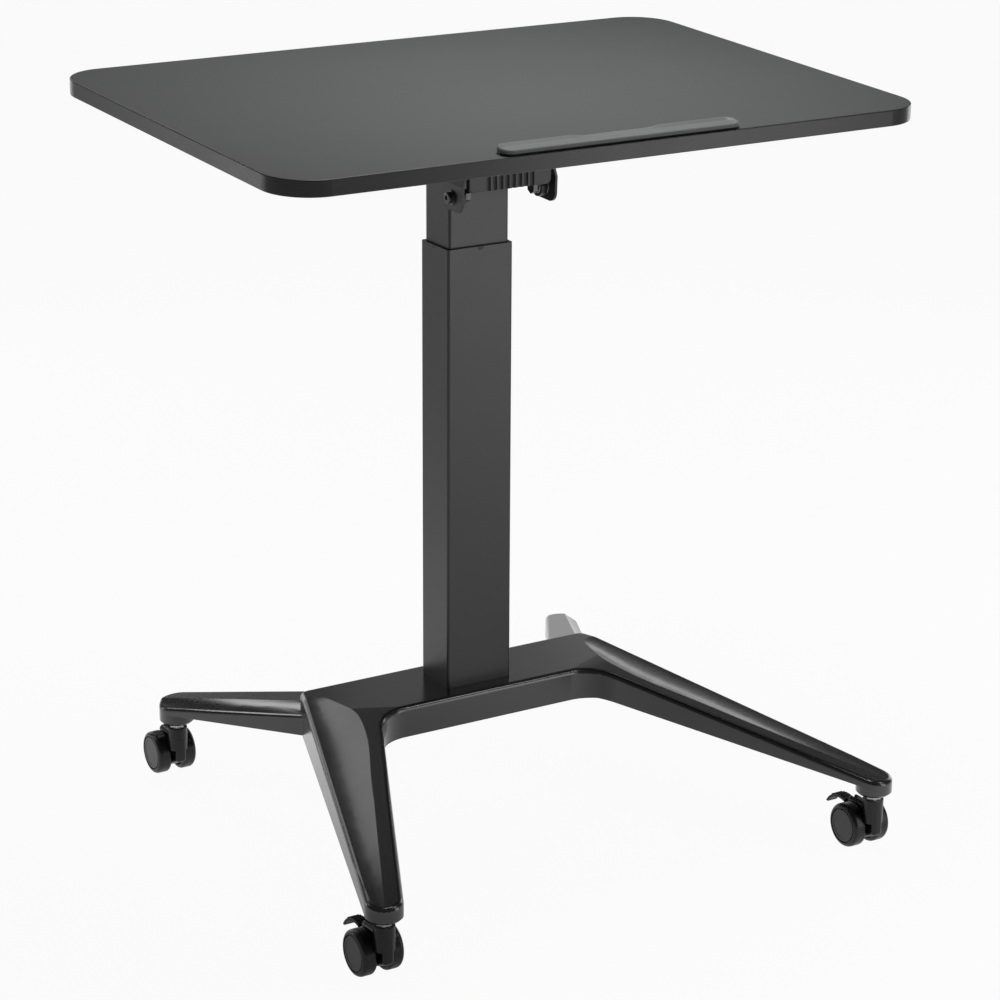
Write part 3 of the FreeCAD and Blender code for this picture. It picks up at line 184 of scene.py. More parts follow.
class DeskFinish(bpy.types.PropertyGroup):
    """Colours of the desk's finishes."""
    coat: colour_of("2b2c2c", "Powder coat", "Coat on the tubes, bracket and yoke")
    casting: colour_of("121313", "Casting coat", "Thicker coat on the cast base")
    laminate: colour_of("4c4e4d", "Laminate", "Desktop's faced top")
    edge: colour_of("2a2b2b", "Edge band", "Band round the desktop")
    strip: colour_of("6b6d6d", "Stop strip", "Soft strip on the desktop's front edge")
    plastic: colour_of("161717", "Moulded plastic", "Glides and caster hoods")
    paddle: colour_of("363737", "Paddle", "Release paddle under the desktop")
    cap: colour_of("343535", "Wheel caps", "Discs in the wheels' outer faces")
    pedal: colour_of("080808", "Pedals", "Brake pedals on the front casters")
    # The tread's black also colours the strip's foot, where it is painted shade under the lip.
    tread: colour_of("151616", "Tread", "Wheels' running surface and the stop strip's foot")
    steel: colour_of("dfe2e4", "Plated steel", "Stems, screws, springs and the gas spring's rod")
    black_steel: colour_of("5c5d60", "Blackened steel", "Pivot bolts, nuts and washers")
    nylon: colour_of("d9d6cb", "Natural nylon", "Friction washers")


class DeskSizes(bpy.types.PropertyGroup):
    """Sizes of the fine pieces."""
    rest_tilt: angle_of(2.0, "Rest tilt", "Desktop's tilt at rest, rear edge up")
    strip_seat: length_of(1.0, "Strip seat", "How far the stop strip is sunk in the board")
    strip_lip: length_of(2.5, "Strip lip", "Height of the lip's underside over the board")
    strip_overhang: length_of(3.0, "Strip overhang", "How far the lip stands out over the foot")
    strip_rise: length_of(2.5, "Strip rise", "How much the back lip is higher than the front lip")
    strip_rim: length_of(7.0, "Strip rim", "Width of the rim round the dished middle")
    strip_dish: length_of(1.6, "Strip dish", "Depth of the dished middle")
    strip_round: length_of(2.2, "Strip rounding", "Rounding of the rim")
    strip_dip: length_of(2.0, "Strip dip", "How much the back lip drops along the middle")
    strip_dip_length: length_of(84.0, "Dip length", "Length of the dropped part of the back lip")
    strip_ramp: length_of(12.0, "Dip ramp", "Length of the ramp at each end of the dip")
    ridge: length_of(1.1, "Pedal ridge", "Half width of a ridge across a brake pedal")
    ridge_start: length_of(18.0, "First ridge", "From the pedal's pivot to the first ridge")
    ridge_pitch: length_of(4.6, "Ridge pitch", "From ridge to ridge")
    ridges: bpy.props.IntProperty(name="Ridges", description="Ridges across each pedal", min=1, default=5)
    cap_groove: length_of(0.9, "Cap groove", "Width added to the gap round a wheel's cap")
    cap_round: length_of(0.9, "Cap rounding", "Rounding of a cap's rim")
    cap_ring: length_of(2.2, "Cap ring", "Width of the flat ring round a cap's sunk face")
    cap_sink: length_of(0.4, "Cap sink", "How far a cap's face is sunk inside its ring")
    screw_head: length_of(9.0, "Screw head", "Diameter of a yoke screw's head")
    screw_head_height: length_of(2.4, "Screw head height", "Height of a yoke screw's head")
    screw_shank: length_of(4.0, "Screw shank", "Diameter of a yoke screw")
    screw_x: length_of(40.0, "Screw row", "From the middle to each row of yoke screws")
    screw_y: bpy.props.FloatVectorProperty(
        name="Screw places", description="From the pivot back to each yoke screw", unit="LENGTH", size=3,
        default=(-0.024, 0.066, 0.151))
    recess_wide: length_of(1.3, "Recess width", "Width of a screw's cross recess")
    recess_long: length_of(4.6, "Recess length", "Length of a screw's cross recess")
    recess_deep: length_of(1.3, "Recess depth", "Depth of a screw's cross recess")


class DeskStage(bpy.types.PropertyGroup):
    """Camera and studio."""
    lens: bpy.props.FloatProperty(name="Lens", description="Focal length on a 36 mm frame",
                                  unit="CAMERA", default=112.194)
    eye: bpy.props.FloatVectorProperty(name="Eye", description="Camera's place from the column's foot",
                                       subtype="TRANSLATION", unit="LENGTH", size=3,
                                       default=(-1.7669, -2.9902, 1.5289))
    yaw: angle_of(31.229, "Yaw", "Camera's turn to the right of straight ahead")
    pitch: angle_of(18.397, "Pitch", "Camera's fall below the level")
    roll: angle_of(0.314, "Roll", "Camera's turn about its own line of sight")
    floor_size: length_of(60000.0, "Floor size", "Width of the floor")
    floor: colour_of("f4f4f2", "Floor", "Pale studio floor")
    floor_white: share_of(0.95, "Floor white", "Share of the floor that the camera sees as white")
    # Near white of the floor's painted pool, which only reflections see.
    floor_painted_pool: share_of(0.85, "Mirrored floor", "Share of the floor that is white in reflections")
    wall_white: angle_of(0.0, "Wall white", "Height up to which the wall is white")
    wall_dark: angle_of(7.0, "Wall dim", "Height at which the wall is dim")
    ceiling: share_of(0.10, "Ceiling", "Brightness overhead")
    backdrop: share_of(0.955, "Backdrop", "Brightness of the wall that the camera sees")


def desk_finish():
    """The finishes' colours as this scene has them."""
    return bpy.context.scene.desk_finish


def desk_sizes():
    """The fine pieces' sizes as this scene has them."""
    return bpy.context.scene.desk_sizes


def blank_tree(block):
    """Node tree of a new material or world, with nothing in it."""
    block.use_nodes = True
    block.node_tree.nodes.clear()
    return block.node_tree


def add(tree, kind, inputs=None, **settings):
    """Adds a shader node, sets its properties, and sets or links its inputs."""
    node = tree.nodes.new("ShaderNode" + kind)
    for key, value in settings.items():
        setattr(node, key, value)
    for socket, value in (inputs or {}).items():
        if isinstance(value, bpy.types.NodeSocket):
            tree.links.new(value, node.inputs[socket])
        else:
            node.inputs[socket].default_value = value
    return node


def blend(tree, factor, first, second, kind="FLOAT"):
    """Blend of two numbers or colours. The Mix node's socket names repeat, so they are picked by number."""
    first_socket, second_socket, result = {"FLOAT": (2, 3, 0), "RGBA": (6, 7, 2)}[kind]
    node = add(tree, "Mix", {0: factor, first_socket: first, second_socket: second}, data_type=kind)
    return node.outputs[result]


def remap(tree, value, start, end, first, last, curve="LINEAR"):
    """A value carried from the range start to end to the range first to last."""
    ranges = {"Value": value, "From Min": start, "From Max": end, "To Min": first, "To Max": last}
    return add(tree, "MapRange", ranges, interpolation_type=curve).outputs["Result"]


def compute(tree, operation, *values):
    """Result of a sum, product or other operation on numbers."""
    return add(tree, "Math", dict(enumerate(values)), operation=operation).outputs[0]


def per_metre(millimetres):
    """Pattern scale whose features are about this large."""
    return 1000.0 / millimetres


def surface(name, colour, *, shade, rough, grain_mm, relief_mm, cloud_mm=90.0, edge_mm=0.0, stretch=None,
            **shader):
    """A material whose colour and gloss drift slowly and whose grain stands out in relief.

    shade is how far the colour drifts each way, rough its lowest and highest roughness, edge_mm the rounding
    that edges seem to have, and stretch the grain's scale along each axis where the surface was drawn or
    brushed. The grain is drawn coarser than the real one, which is too fine to show.
    """
    material = bpy.data.materials.new(name)
    tree = blank_tree(material)
    place = add(tree, "TexCoord").outputs["Object"]
    lay = place
    if stretch:
        lay = add(tree, "Mapping", {"Vector": place, "Scale": stretch}).outputs["Vector"]
    grain = add(tree, "TexNoise", {"Vector": lay, "Scale": per_metre(grain_mm), "Detail": GRAIN_LAYERS,
                                   "Roughness": GRAIN_WEIGHT}).outputs["Fac"]
    cloud = add(tree, "TexNoise", {"Vector": place, "Scale": per_metre(cloud_mm),
                                   "Detail": CLOUD_LAYERS}).outputs["Fac"]
    darker = [c * (1 - shade) for c in colour] + [1]
    lighter = [c * (1 + shade) for c in colour] + [1]
    base = blend(tree, cloud, darker, lighter, "RGBA")
    drift = blend(tree, GRAIN_IN_GLOSS, cloud, grain)
    gloss = remap(tree, drift, NOISE_LOW, NOISE_HIGH, *rough)
    relief = {"Height": grain, "Distance": relief_mm / 1000, "Strength": 1.0}
    if edge_mm:
        edges = add(tree, "Bevel", {"Radius": edge_mm / 1000}, samples=EDGE_SAMPLES)
        relief["Normal"] = edges.outputs["Normal"]
    bump = add(tree, "Bump", relief).outputs["Normal"]
    body = add(tree, "BsdfPrincipled", {"Base Color": base, "Roughness": gloss, "Normal": bump, **shader})
    add(tree, "OutputMaterial", {"Surface": body.outputs["BSDF"]})
    return material


def dress(material, *names):
    """Gives CAD nodes a material."""
    for name in names:
        for slot in NODES[name].material_slots:
            slot.material = material


def joint_place(name):
    """A point on a joint's axis."""
    return Vector(next(joint["pos_m"] for joint in frame["joints"] if joint["name"] == name))


def desk_at_rest():
    """Carries a level desktop piece to its rest tilt about the pivot."""
    pivot = joint_place("desktop_tilt")
    turn = Matrix.Rotation(desk_sizes().rest_tilt, 4, "X")
    return Matrix.Translation(pivot) @ turn @ Matrix.Translation(-pivot)


def level_box(name):
    """Lowest and highest corner of a desktop node, the desktop being level."""
    level = desk_at_rest().inverted()
    spots = [level @ v.co for v in NODES[name].data.vertices]
    return [Vector([edge(axis) for axis in zip(*spots)]) for edge in (min, max)]


def eased(share):
    """A share from 0 to 1 that starts and ends softly."""
    return share * share * (3 - 2 * share)


def round_off(mesh, geom, affect, offset, segments):
    """Rounds corners or edges by a quarter circle."""
    bmesh.ops.bevel(mesh, geom=geom, affect=affect, offset=offset, segments=segments, profile=0.5,
                    material=-1)


def turn_outline(mesh, outline, axis, steps):
    """Turned solid about an axis through the origin, from an outline of x and z."""
    corners = [mesh.verts.new((x, 0, z)) for x, z in outline]
    edges = [mesh.edges.new(pair) for pair in zip(corners, corners[1:])]
    bmesh.ops.spin(mesh, geom=corners + edges, cent=(0, 0, 0), axis=axis, angle=2 * math.pi, steps=steps,
                   use_merge=True)
    bmesh.ops.remove_doubles(mesh, verts=mesh.verts, dist=NEAR)


def cut(mesh, place, normal):
    """Divides every face that a plane crosses and keeps both sides."""
    geom = mesh.verts[:] + mesh.edges[:] + mesh.faces[:]
    bmesh.ops.bisect_plane(mesh, geom=geom, plane_co=place, plane_no=normal)


def inset(mesh, faces, width, depth=0.0):
    """Draws a border of even width inside a region of faces, which rises by the depth."""
    bmesh.ops.inset_region(mesh, faces=faces, thickness=width, depth=depth, use_even_offset=True)


def grow(mesh, faces, kind):
    """Extrudes faces where they are and returns the new points or faces."""
    grown = bmesh.ops.extrude_face_region(mesh, geom=faces)["geom"]
    return [part for part in grown if isinstance(part, kind)]


def add_object(name, data):
    """A new object in the scene."""
    thing = bpy.data.objects.new(name, data)
    bpy.context.scene.collection.objects.link(thing)
    return thing


def settle(name, mesh, materials, body):
    """Makes a mesh a piece of the desk that rides on a body."""
    bmesh.ops.recalc_face_normals(mesh, faces=mesh.faces)
    data = bpy.data.meshes.new(name)
    mesh.to_mesh(data)
    mesh.free()
    for material in materials:
        data.materials.append(material)
    data.shade_smooth()
    data.set_sharp_from_angle(angle=SHARP_ANGLE)
    piece = add_object(name, data)
    piece.modifiers.new("even_shading", "WEIGHTED_NORMAL").keep_sharp = True
    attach(piece, body)
    return piece


class DESK_OT_desktop(bpy.types.Operator):
    """Laminated board and its edge band"""
    bl_idname = "desk.desktop"
    bl_label = "Desktop"

    def execute(self, context):
        finish = desk_finish()
        # Melamine laminate pressed on a pearl-textured plate: dull, with a soft sheen at a low angle.
        laminate = surface("melamine_laminate_pearl", finish.laminate, shade=0.06, rough=(0.6, 0.68),
                           grain_mm=1.6, relief_mm=0.01, cloud_mm=220.0, IOR=1.4)
        # Extruded ABS band: smoother and darker than the top, so it mirrors the floor along its length.
        band = surface("abs_edge_band_extruded", finish.edge, shade=0.05, rough=(0.26, 0.32),
                       grain_mm=3.0, relief_mm=0.0005, stretch=(0.15, 0.15, 1.0), IOR=1.5)
        dress(laminate, "desktop_board")
        dress(band, "desktop_edge_band")
        return {"FINISHED"}


class DESK_OT_stop_strip(bpy.types.Operator):
    """Soft strip on the desktop's front edge"""
    bl_idname = "desk.stop_strip"
    bl_label = "Stop strip"

    def execute(self, context):
        finish = desk_finish()
        # Moulded silicone rubber: even mid grey with a powdery bloom and no sharp highlight.
        rubber = surface("silicone_rubber_moulded", finish.strip, shade=0.05, rough=(0.48, 0.58),
                         grain_mm=0.8, relief_mm=0.012, IOR=1.41)
        # Moulded black rubber: dull foot whose black is also painted shade under the lip.
        foot = surface("black_rubber_moulded", finish.tread, shade=0.05, rough=(0.6, 0.7),
                       grain_mm=0.6, relief_mm=0.01, IOR=1.4)
        size = desk_sizes()
        low, high = level_box("stop_strip")
        lip = low.z + size.strip_seat + size.strip_lip
        crest = high.z - size.strip_rise
        mesh = bmesh.new()
        self.raise_rim(mesh, low, high, lip, crest)
        self.add_foot(mesh, low.z, lip)
        self.shape_back(mesh, low, high, lip, crest)
        bmesh.ops.transform(mesh, matrix=desk_at_rest(), verts=mesh.verts)
        piece = settle("stop_strip_moulding", mesh, (rubber, foot), "desktop")
        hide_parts("stop_strip")
        return {"FINISHED"}

    def raise_rim(self, mesh, low, high, lip, crest):
        """Plan with round ends, raised from the lip to a rounded rim with a dished middle."""
        size = desk_sizes()
        middle = (low + high) / 2
        depth = high.y - low.y
        # The half width makes a square of one metre, which takes the strip's own length and depth.
        bmesh.ops.create_grid(mesh, x_segments=1, y_segments=1, size=0.5)
        bmesh.ops.scale(mesh, verts=mesh.verts, vec=(high.x - low.x, depth, 1))
        bmesh.ops.translate(mesh, verts=mesh.verts, vec=(middle.x, middle.y, lip))
        round_off(mesh, mesh.verts[:], "VERTICES", STRIP_END_SHARE * depth, STRIP_END_STEPS)
        top = grow(mesh, mesh.faces[:], bmesh.types.BMFace)
        bmesh.ops.translate(mesh, verts=top[0].verts, vec=(0, 0, crest - size.strip_round - lip))

        rim = []
        for k in range(1, RIM_STEPS + 1):
            turn = k * math.pi / (2 * RIM_STEPS)
            rim.append((size.strip_round * (1 - math.cos(turn)), size.strip_round * math.sin(turn)))
        for k in range(1, DISH_STEPS + 1):
            share = k / DISH_STEPS
            rim.append((size.strip_round + (size.strip_rim - size.strip_round) * share,
                        size.strip_round - size.strip_dish * eased(share)))
        last_reach = 0.0
        last_rise = 0.0
        for reach, rise in rim:
            inset(mesh, top, reach - last_reach)
            bmesh.ops.translate(mesh, verts=top[0].verts, vec=(0, 0, rise - last_rise))
            last_reach = reach
            last_rise = rise

    def add_foot(self, mesh, base, lip):
        """Narrower foot from the lip down to the base, in the second material, whose black is also painted
        shade under the lip.
        """
        under = [f for f in mesh.faces if f.calc_center_median().z < lip + NEAR]
        inset(mesh, under, desk_sizes().strip_overhang)
        down = grow(mesh, under, bmesh.types.BMVert)
        bmesh.ops.translate(mesh, verts=down, vec=(0, 0, base - lip))
        bmesh.ops.delete(mesh, geom=under, context="FACES")
        for face in mesh.faces:
            face.material_index = int(face.calc_center_median().z < lip + NEAR)

    def shape_back(self, mesh, low, high, lip, crest):
        """Raises the strip towards its back, less along the middle, with a ramp at each end of the dip."""
        size = desk_sizes()
        middle = (low + high) / 2
        depth = high.y - low.y
        dip_end = size.strip_dip_length / 2
        for x in (dip_end, dip_end + size.strip_ramp / 2, dip_end + size.strip_ramp):
            for side in (-x, x):
                cut(mesh, (middle.x + side, 0, 0), (1, 0, 0))
        for vert in mesh.verts:
            up = max(0.0, (vert.co.z - lip) / (crest - lip))
            back = (vert.co.y - low.y) / depth
            along = (dip_end + size.strip_ramp - abs(vert.co.x - middle.x)) / size.strip_ramp
            dip = size.strip_dip * eased(min(1.0, max(0.0, along))) * max(0.0, 2 * back - 1)
            vert.co.z += up * (size.strip_rise * back - dip)


class DESK_OT_column(bpy.types.Operator):
    """Tubes, glides, gas spring and foot"""
    bl_idname = "desk.column"
    bl_label = "Column"

    def execute(self, context):
        finish = desk_finish()
        # Polyester powder coat on drawn tube: satin black with a fine orange peel.
        coat = surface("powder_coat_on_steel_tube", finish.coat, shade=0.05, rough=(0.3, 0.38),
                       grain_mm=1.2, relief_mm=0.003, cloud_mm=160.0, edge_mm=0.8, IOR=1.58)
        # Moulded acetal: black, a little waxy.
        acetal = surface("acetal_moulded", finish.plastic, shade=0.04, rough=(0.35, 0.45),
                         grain_mm=0.6, relief_mm=0.01, IOR=1.48)
        # Ground and chromed rod: a mirror with faint drawing lines along it.
        chrome = surface("hard_chrome_ground", finish.steel, shade=0.02, rough=(0.08, 0.14),
                         grain_mm=0.4, relief_mm=0.002, stretch=(1.0, 1.0, 0.05), Metallic=1.0)
        # Bright zinc plate: pale blue-white, slightly cloudy metal.
        zinc = surface("zinc_plate_bright", finish.steel, shade=0.05, rough=(0.3, 0.42),
                       grain_mm=0.5, relief_mm=0.006, edge_mm=0.3, Metallic=0.7)
        dress(coat, "outer_tube", "inner_tube", "gas_cylinder")
        dress(acetal, "upper_glide", "lower_glide", "gas_piston")
        dress(chrome, "gas_rod", "release_pin")
        dress(zinc, "foot_plate", "foot_bolts", "gas_gland", "rod_nuts")
        return {"FINISHED"}


class DESK_OT_head(bpy.types.Operator):
    """Head bracket, tilt yoke and the pivot's hardware"""
    bl_idname = "desk.head"
    bl_label = "Head and tilt pivot"

    def execute(self, context):
        finish = desk_finish()
        # Powder coat on bent sheet: the same satin black, drawn thin over the cut edges.
        sheet = surface("powder_coat_on_bent_sheet", finish.coat, shade=0.05, rough=(0.34, 0.42),
                        grain_mm=1.0, relief_mm=0.012, edge_mm=0.5, IOR=1.5)
        # Black oxide on steel: dark metal with a thin oily shine.
        oxide = surface("black_oxide_steel", finish.black_steel, shade=0.1, rough=(0.28, 0.4),
                        grain_mm=0.4, relief_mm=0.006, edge_mm=0.5, Metallic=0.8)
        # Natural nylon, turned: pale, slightly yellow and dull.
        nylon = surface("natural_nylon_turned", finish.nylon, shade=0.04, rough=(0.45, 0.55),
                        grain_mm=0.4, relief_mm=0.006, stretch=(1.0, 0.2, 0.2), IOR=1.53)
        zinc = bpy.data.materials["zinc_plate_bright"]
        dress(sheet, "head_bracket", "tilt_yoke")
        dress(oxide, "pivot_bolts", "pivot_nuts", "pivot_washers")
        dress(nylon, "friction_washers")
        dress(zinc, "disc_springs", "lever_pin")
        self.screws(zinc)
        return {"FINISHED"}

    def screws(self, material):
        """Two rows of screws with a cross recess, in place of the plain ones."""
        size = desk_sizes()
        low, high = level_box("yoke_screws")
        pattern = self.cross_screw(high.z - low.z)
        pivot = joint_place("desktop_tilt")
        mesh = bmesh.new()
        for x in (-size.screw_x, size.screw_x):
            for y in size.screw_y:
                before = set(mesh.verts)
                mesh.from_mesh(pattern)
                place = desk_at_rest() @ Matrix.Translation((x, pivot.y + y, low.z))
                bmesh.ops.transform(mesh, matrix=place, verts=[v for v in mesh.verts if v not in before])
        bpy.data.meshes.remove(pattern)
        piece = settle("yoke_cross_screws", mesh, (material,), "desktop")
        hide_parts("yoke_screws")

    def cross_screw(self, tall):
        """One screw, its rounded head at the origin and facing down, with a cross recess in it."""
        size = desk_sizes()
        radius = size.screw_head / 2
        shank = size.screw_shank / 2
        seat = size.screw_head_height
        mesh = bmesh.new()
        turn_outline(mesh, [(0, 0), (radius, 0), (radius, seat), (shank, seat), (shank, tall), (0, tall)],
                     (0, 0, 1), SCREW_STEPS)
        rim = []
        for edge in mesh.edges:
            if all(v.co.z < NEAR and v.co.xy.length > radius - NEAR for v in edge.verts):
                rim.append(edge)
        round_off(mesh, rim, "EDGES", seat / 2, HEAD_ROUND_STEPS)

        half_width = size.recess_wide / 2
        half_length = size.recess_long / 2
        for across in (Vector((1, 0, 0)), Vector((0, 1, 0))):
            for reach in (-half_length, -half_width, half_width, half_length):
                cut(mesh, across * reach, across)
        bmesh.ops.remove_doubles(mesh, verts=mesh.verts, dist=NEAR)
        cross = []
        for face in mesh.faces:
            middle = face.calc_center_median()
            near, far = sorted((abs(middle.x), abs(middle.y)))
            if middle.z < NEAR and near < half_width and far < half_length:
                cross.append(face)
        bottom = grow(mesh, cross, bmesh.types.BMVert)
        bmesh.ops.translate(mesh, verts=bottom, vec=(0, 0, size.recess_deep))
        bmesh.ops.delete(mesh, geom=[f for f in cross if f.is_valid], context="FACES")
        data = bpy.data.meshes.new("cross_screw")
        mesh.to_mesh(data)
        mesh.free()
        return data


class DESK_OT_release(bpy.types.Operator):
    """Release lever and its fluted paddle"""
    bl_idname = "desk.release"
    bl_label = "Release lever"

    def execute(self, context):
        # ABS moulded against a spark-eroded tool: black with a fine even grain.
        paddle = surface("abs_moulded_spark_grain", desk_finish().paddle, shade=0.05, rough=(0.3, 0.4),
                         grain_mm=0.7, relief_mm=0.015, edge_mm=0.3, IOR=1.5)
        dress(paddle, "release_paddle")
        dress(bpy.data.materials["powder_coat_on_bent_sheet"], "lever_arm")
        return {"FINISHED"}


class DESK_OT_base(bpy.types.Operator):
    """Cast base"""
    bl_idname = "desk.base"
    bl_label = "Base"

    def execute(self, context):
        # Powder coat over a die casting: a thick flowed film, glossier than on the tube, with soft waves.
        film = {"Coat Weight": 0.6, "Coat Roughness": 0.16, "Coat IOR": 1.6}
        coat = surface("powder_coat_on_die_casting", desk_finish().casting, shade=0.06, rough=(0.2, 0.26),
                       grain_mm=1.5, relief_mm=0.001, cloud_mm=120.0, edge_mm=1.0, IOR=1.6, **film)
        dress(coat, "base_casting")
        return {"FINISHED"}


class DESK_OT_casters(bpy.types.Operator):
    """Twin-wheel casters with their stems and brake pedals"""
    bl_idname = "desk.casters"
    bl_label = "Casters"

    def execute(self, context):
        finish = desk_finish()
        # Nylon moulded against a lightly grained tool: satin black.
        nylon = surface("nylon_moulded_black", finish.plastic, shade=0.05, rough=(0.24, 0.32),
                        grain_mm=0.8, relief_mm=0.006, edge_mm=0.4, IOR=1.45)
        # Nylon moulded against a polished tool: a shade lighter than the wheel that it closes.
        polished = surface("nylon_moulded_polished", finish.cap, shade=0.05, rough=(0.28, 0.36),
                           grain_mm=0.9, relief_mm=0.003, IOR=1.5)
        # Glass-filled nylon, moulded: dead black and dull, with a coarse grain for the shoe.
        filled = surface("glass_filled_nylon_moulded", finish.pedal, shade=0.05, rough=(0.42, 0.52),
                         grain_mm=0.9, relief_mm=0.012, edge_mm=0.3, IOR=1.45)
        # Cast polyurethane: black, smooth and slightly rubbery.
        tread = surface("polyurethane_tread_cast", finish.tread, shade=0.06, rough=(0.24, 0.32),
                        grain_mm=1.2, relief_mm=0.006, IOR=1.45)
        zinc = bpy.data.materials["zinc_plate_bright"]
        dress(zinc, "caster_stems")
        for place in CASTERS:
            start = "caster_" + place + "_"
            dress(zinc, start + "axle")
            dress(nylon, start + "hood")
            for side in SIDES:
                dress(tread, start + "wheel_" + side)
                self.cap(start, side, polished)
            if place.startswith("f"):
                dress(filled, start + "brake_pedal")
                self.ridges(place, filled)
        return {"FINISHED"}

    def cap(self, start, side, material):
        """Cap with a rounded ring and a sunk face, in place of the plain disc, with a groove to the wheel."""
        size = desk_sizes()
        name = start + "cap_" + side
        low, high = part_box(name)
        radius = (high.z - low.z) / 2 - size.cap_groove
        outwards = 1 if side == "r" else -1
        face = outwards * (high.x - low.x) / 2
        mesh = bmesh.new()
        turn_outline(mesh, [(-face, 0), (-face, radius), (face, radius), (face, 0)], (1, 0, 0), CAP_STEPS)
        bmesh.ops.recalc_face_normals(mesh, faces=mesh.faces)
        rim = []
        for edge in mesh.edges:
            if all(v.co.x * outwards > 0 and v.co.yz.length > radius - NEAR for v in edge.verts):
                rim.append(edge)
        round_off(mesh, rim, "EDGES", size.cap_round, CAP_ROUND_STEPS)
        disc = [f for f in mesh.faces if all(abs(v.co.x - face) < NEAR for v in f.verts)]
        inset(mesh, disc, size.cap_ring)
        inset(mesh, disc, size.cap_sink, depth=-size.cap_sink)
        bmesh.ops.translate(mesh, verts=mesh.verts, vec=(low + high) / 2)
        piece = settle(name + "_ringed", mesh, (material,), start + "wheel_" + side)
        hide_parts(name)

    def ridges(self, place, material):
        """Rounded ridges across a brake pedal, each half sunk in the tread where the foot presses."""
        size = desk_sizes()
        start = "caster_" + place
        pedal = NODES[start + "_brake_pedal"]
        low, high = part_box(pedal.name)
        pivot = joint_place(start + "_brake")
        width = RIDGE_WIDTH_SHARE * (high.x - low.x)
        mesh = bmesh.new()
        for k in range(size.ridges):
            y = pivot.y + size.ridge_start + k * size.ridge_pitch
            hit, spot = pedal.ray_cast(Vector((pivot.x, y, high.z + RIDGE_SEARCH)), Vector((0, 0, -1)))[:2]
            if not hit:
                raise RuntimeError("ridge " + str(k) + " misses the pedal")
            across = Matrix.Translation(spot) @ Matrix.Rotation(math.pi / 2, 4, "Y")
            bar = bmesh.ops.create_cone(mesh, cap_ends=True, segments=RIDGE_SIDES, radius1=size.ridge,
                                        radius2=size.ridge, depth=width, matrix=across)["verts"]
            ends = {e for v in bar for e in v.link_edges if e.calc_length() < width / 2}
            round_off(mesh, list(ends), "EDGES", RIDGE_END_SHARE * size.ridge, RIDGE_END_STEPS)
        settle(start + "_pedal_ridges", mesh, (material,), start + "_pedal")


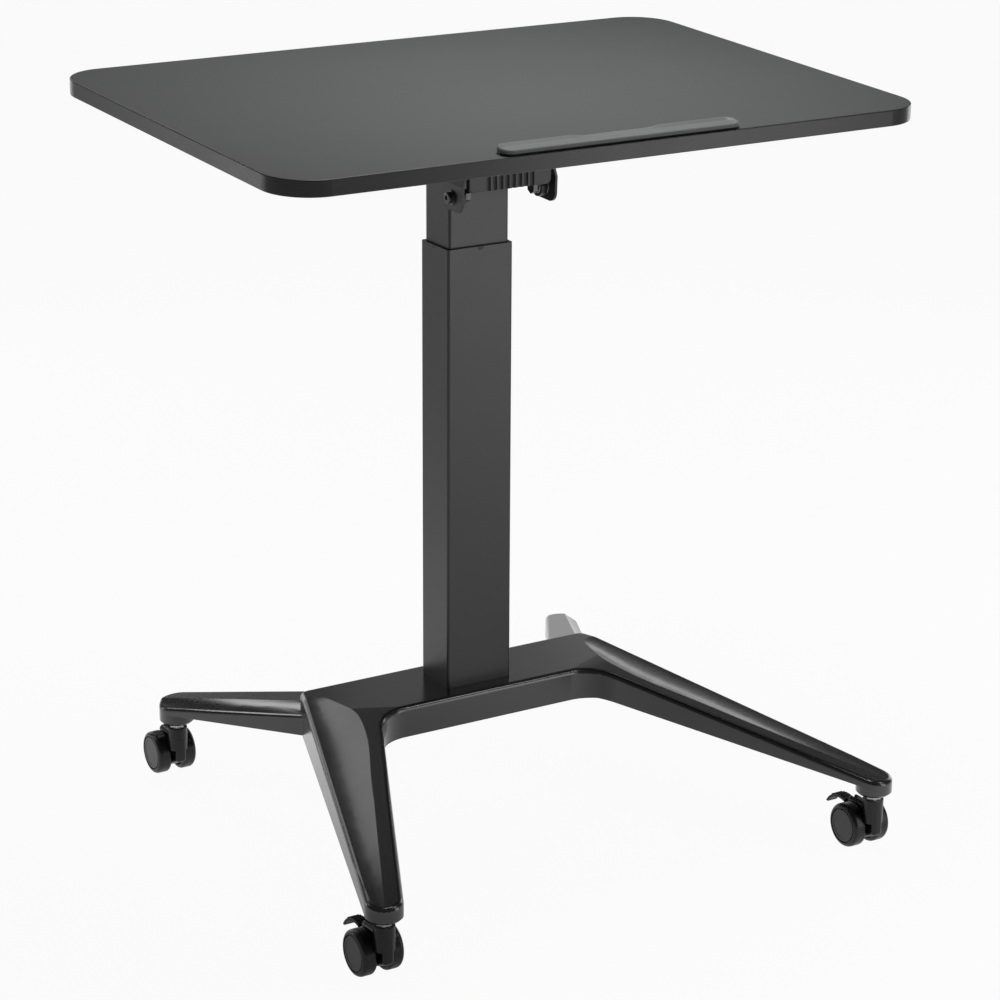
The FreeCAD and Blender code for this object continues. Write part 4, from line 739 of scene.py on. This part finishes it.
class DESK_OT_stage(bpy.types.Operator):
    """Pale floor, soft studio light and the camera"""
    bl_idname = "desk.stage"
    bl_label = "Stage"

    def execute(self, context):
        stage = context.scene.desk_stage
        self.floor(stage)
        self.world(stage)
        for box in SOFT_BOXES:
            self.lamp(box)
        self.camera(stage)
        context.scene.view_settings.view_transform = "Standard"
        return {"FINISHED"}

    def floor(self, stage):
        """Pale floor that keeps the shadow, near white to the camera, with a painted white pool and painted
        shade in reflections.
        """
        mesh = bmesh.new()
        bmesh.ops.create_grid(mesh, x_segments=1, y_segments=1, size=stage.floor_size / 2)
        data = bpy.data.meshes.new("studio_floor")
        mesh.to_mesh(data)
        mesh.free()
        floor = add_object("studio_floor", data)
        material = bpy.data.materials.new("painted_floor_pale")
        tree = blank_tree(material)
        # Matt floor paint: takes the desk's soft shadow.
        paint = add(tree, "BsdfDiffuse", {"Color": list(stage.floor) + [1]})
        glow = add(tree, "Emission", {"Color": WHITE, "Strength": 1.0})
        path = add(tree, "LightPath").outputs
        place = add(tree, "TexCoord").outputs["Object"]
        away = add(tree, "VectorMath", {0: place}, operation="LENGTH").outputs["Value"]
        painted_pool = remap(tree, away, POOL_START, POOL_END, stage.floor_painted_pool, POOL_DIM)
        # Painted shade: each zone dims the white that reflections see.
        for zone in PAINTED_SHADE_ZONES:
            away = add(tree, "VectorMath", {0: place, 1: zone.centre}, operation="DISTANCE").outputs["Value"]
            shade = remap(tree, away, zone.inner, zone.outer, zone.share, 1.0, "SMOOTHSTEP")
            painted_pool = compute(tree, "MULTIPLY", painted_pool, shade)
        # The painted pool and its painted shade show only to glossy and transmission rays.
        painted_reflection = compute(tree, "MAXIMUM", path["Is Glossy Ray"], path["Is Transmission Ray"])
        painted_reflection = compute(tree, "MULTIPLY", painted_reflection, painted_pool)
        white = compute(tree, "MULTIPLY_ADD", path["Is Camera Ray"], stage.floor_white, painted_reflection)
        mix = add(tree, "MixShader", {0: white, 1: paint.outputs[0], 2: glow.outputs[0]})
        add(tree, "OutputMaterial", {"Surface": mix.outputs[0]})
        data.materials.append(material)

    def world(self, stage):
        """Studio wall: an even white backdrop to the camera, and for the desk white only near the floor."""
        world = bpy.data.worlds.new("studio_world")
        bpy.context.scene.world = world
        tree = blank_tree(world)
        direction = add(tree, "TexCoord").outputs["Generated"]
        height = add(tree, "SeparateXYZ", {"Vector": direction}).outputs["Z"]
        light = remap(tree, height, math.sin(stage.wall_white), math.sin(stage.wall_dark), 1.0, stage.ceiling,
                      "SMOOTHSTEP")
        camera_ray = add(tree, "LightPath").outputs["Is Camera Ray"]
        strength = blend(tree, camera_ray, light, stage.backdrop)
        wall = add(tree, "Background", {"Color": WHITE, "Strength": strength})
        add(tree, "OutputWorld", {"Surface": wall.outputs[0]})

    def lamp(self, box):
        """Soft box that faces a point, with a grid where its beam is narrow."""
        data = bpy.data.lights.new(box.name, "AREA")
        data.shape = "RECTANGLE"
        data.size, data.size_y = box.size
        data.energy = box.watts
        data.spread = math.radians(box.beam)
        lamp = add_object(box.name, data)
        lamp.location = box.place
        lamp.visible_camera = False
        lamp.rotation_euler = (Vector(box.aim) - Vector(box.place)).to_track_quat("-Z", "Y").to_euler()

    def camera(self, stage):
        """Camera at the photograph's angle."""
        low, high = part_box("outer_tube")
        foot = Vector(((low.x + high.x) / 2, (low.y + high.y) / 2, 0))
        data = bpy.data.cameras.new("photo_camera")
        data.sensor_width = FRAME_WIDTH
        data.lens = stage.lens
        data.clip_end = SIGHT
        camera = add_object("photo_camera", data)
        turn = (Matrix.Rotation(-stage.yaw, 4, "Z") @ Matrix.Rotation(math.pi / 2 - stage.pitch, 4, "X")
                @ Matrix.Rotation(stage.roll, 4, "Z"))
        camera.matrix_world = Matrix.Translation(foot + Vector(stage.eye)) @ turn
        bpy.context.scene.camera = camera


PIECES = (DESK_OT_desktop, DESK_OT_stop_strip, DESK_OT_column, DESK_OT_head, DESK_OT_release, DESK_OT_base,
          DESK_OT_casters, DESK_OT_stage)


class DESK_PT_pieces(bpy.types.Panel):
    """Every piece of the desk and its stage"""
    bl_idname = "DESK_PT_pieces"
    bl_label = "Mobile laptop desk"
    bl_space_type = "VIEW_3D"
    bl_region_type = "UI"
    bl_category = "Desk"

    def draw(self, context):
        for piece in PIECES:
            self.layout.operator(piece.bl_idname)
        for group in (context.scene.desk_finish, context.scene.desk_sizes, context.scene.desk_stage):
            box = self.layout.box()
            for key in group.__annotations__:
                box.prop(group, key)


CLASSES = (DeskFinish, DeskSizes, DeskStage) + PIECES + (DESK_PT_pieces,)


def register():
    """Makes the desk's settings, operators and panel known to Blender."""
    for cls in CLASSES:
        bpy.utils.register_class(cls)
    bpy.types.Scene.desk_finish = bpy.props.PointerProperty(type=DeskFinish)
    bpy.types.Scene.desk_sizes = bpy.props.PointerProperty(type=DeskSizes)
    bpy.types.Scene.desk_stage = bpy.props.PointerProperty(type=DeskStage)


def unregister():
    """Takes back what register made known."""
    del bpy.types.Scene.desk_finish
    del bpy.types.Scene.desk_sizes
    del bpy.types.Scene.desk_stage
    for cls in reversed(CLASSES):
        bpy.utils.unregister_class(cls)


def main():
    """Registers the add-on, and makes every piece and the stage."""
    register()
    bpy.ops.desk.desktop()
    bpy.ops.desk.stop_strip()
    bpy.ops.desk.column()
    bpy.ops.desk.head()
    bpy.ops.desk.release()
    bpy.ops.desk.base()
    bpy.ops.desk.casters()
    bpy.ops.desk.stage()


if __name__ == "__main__":
    main()
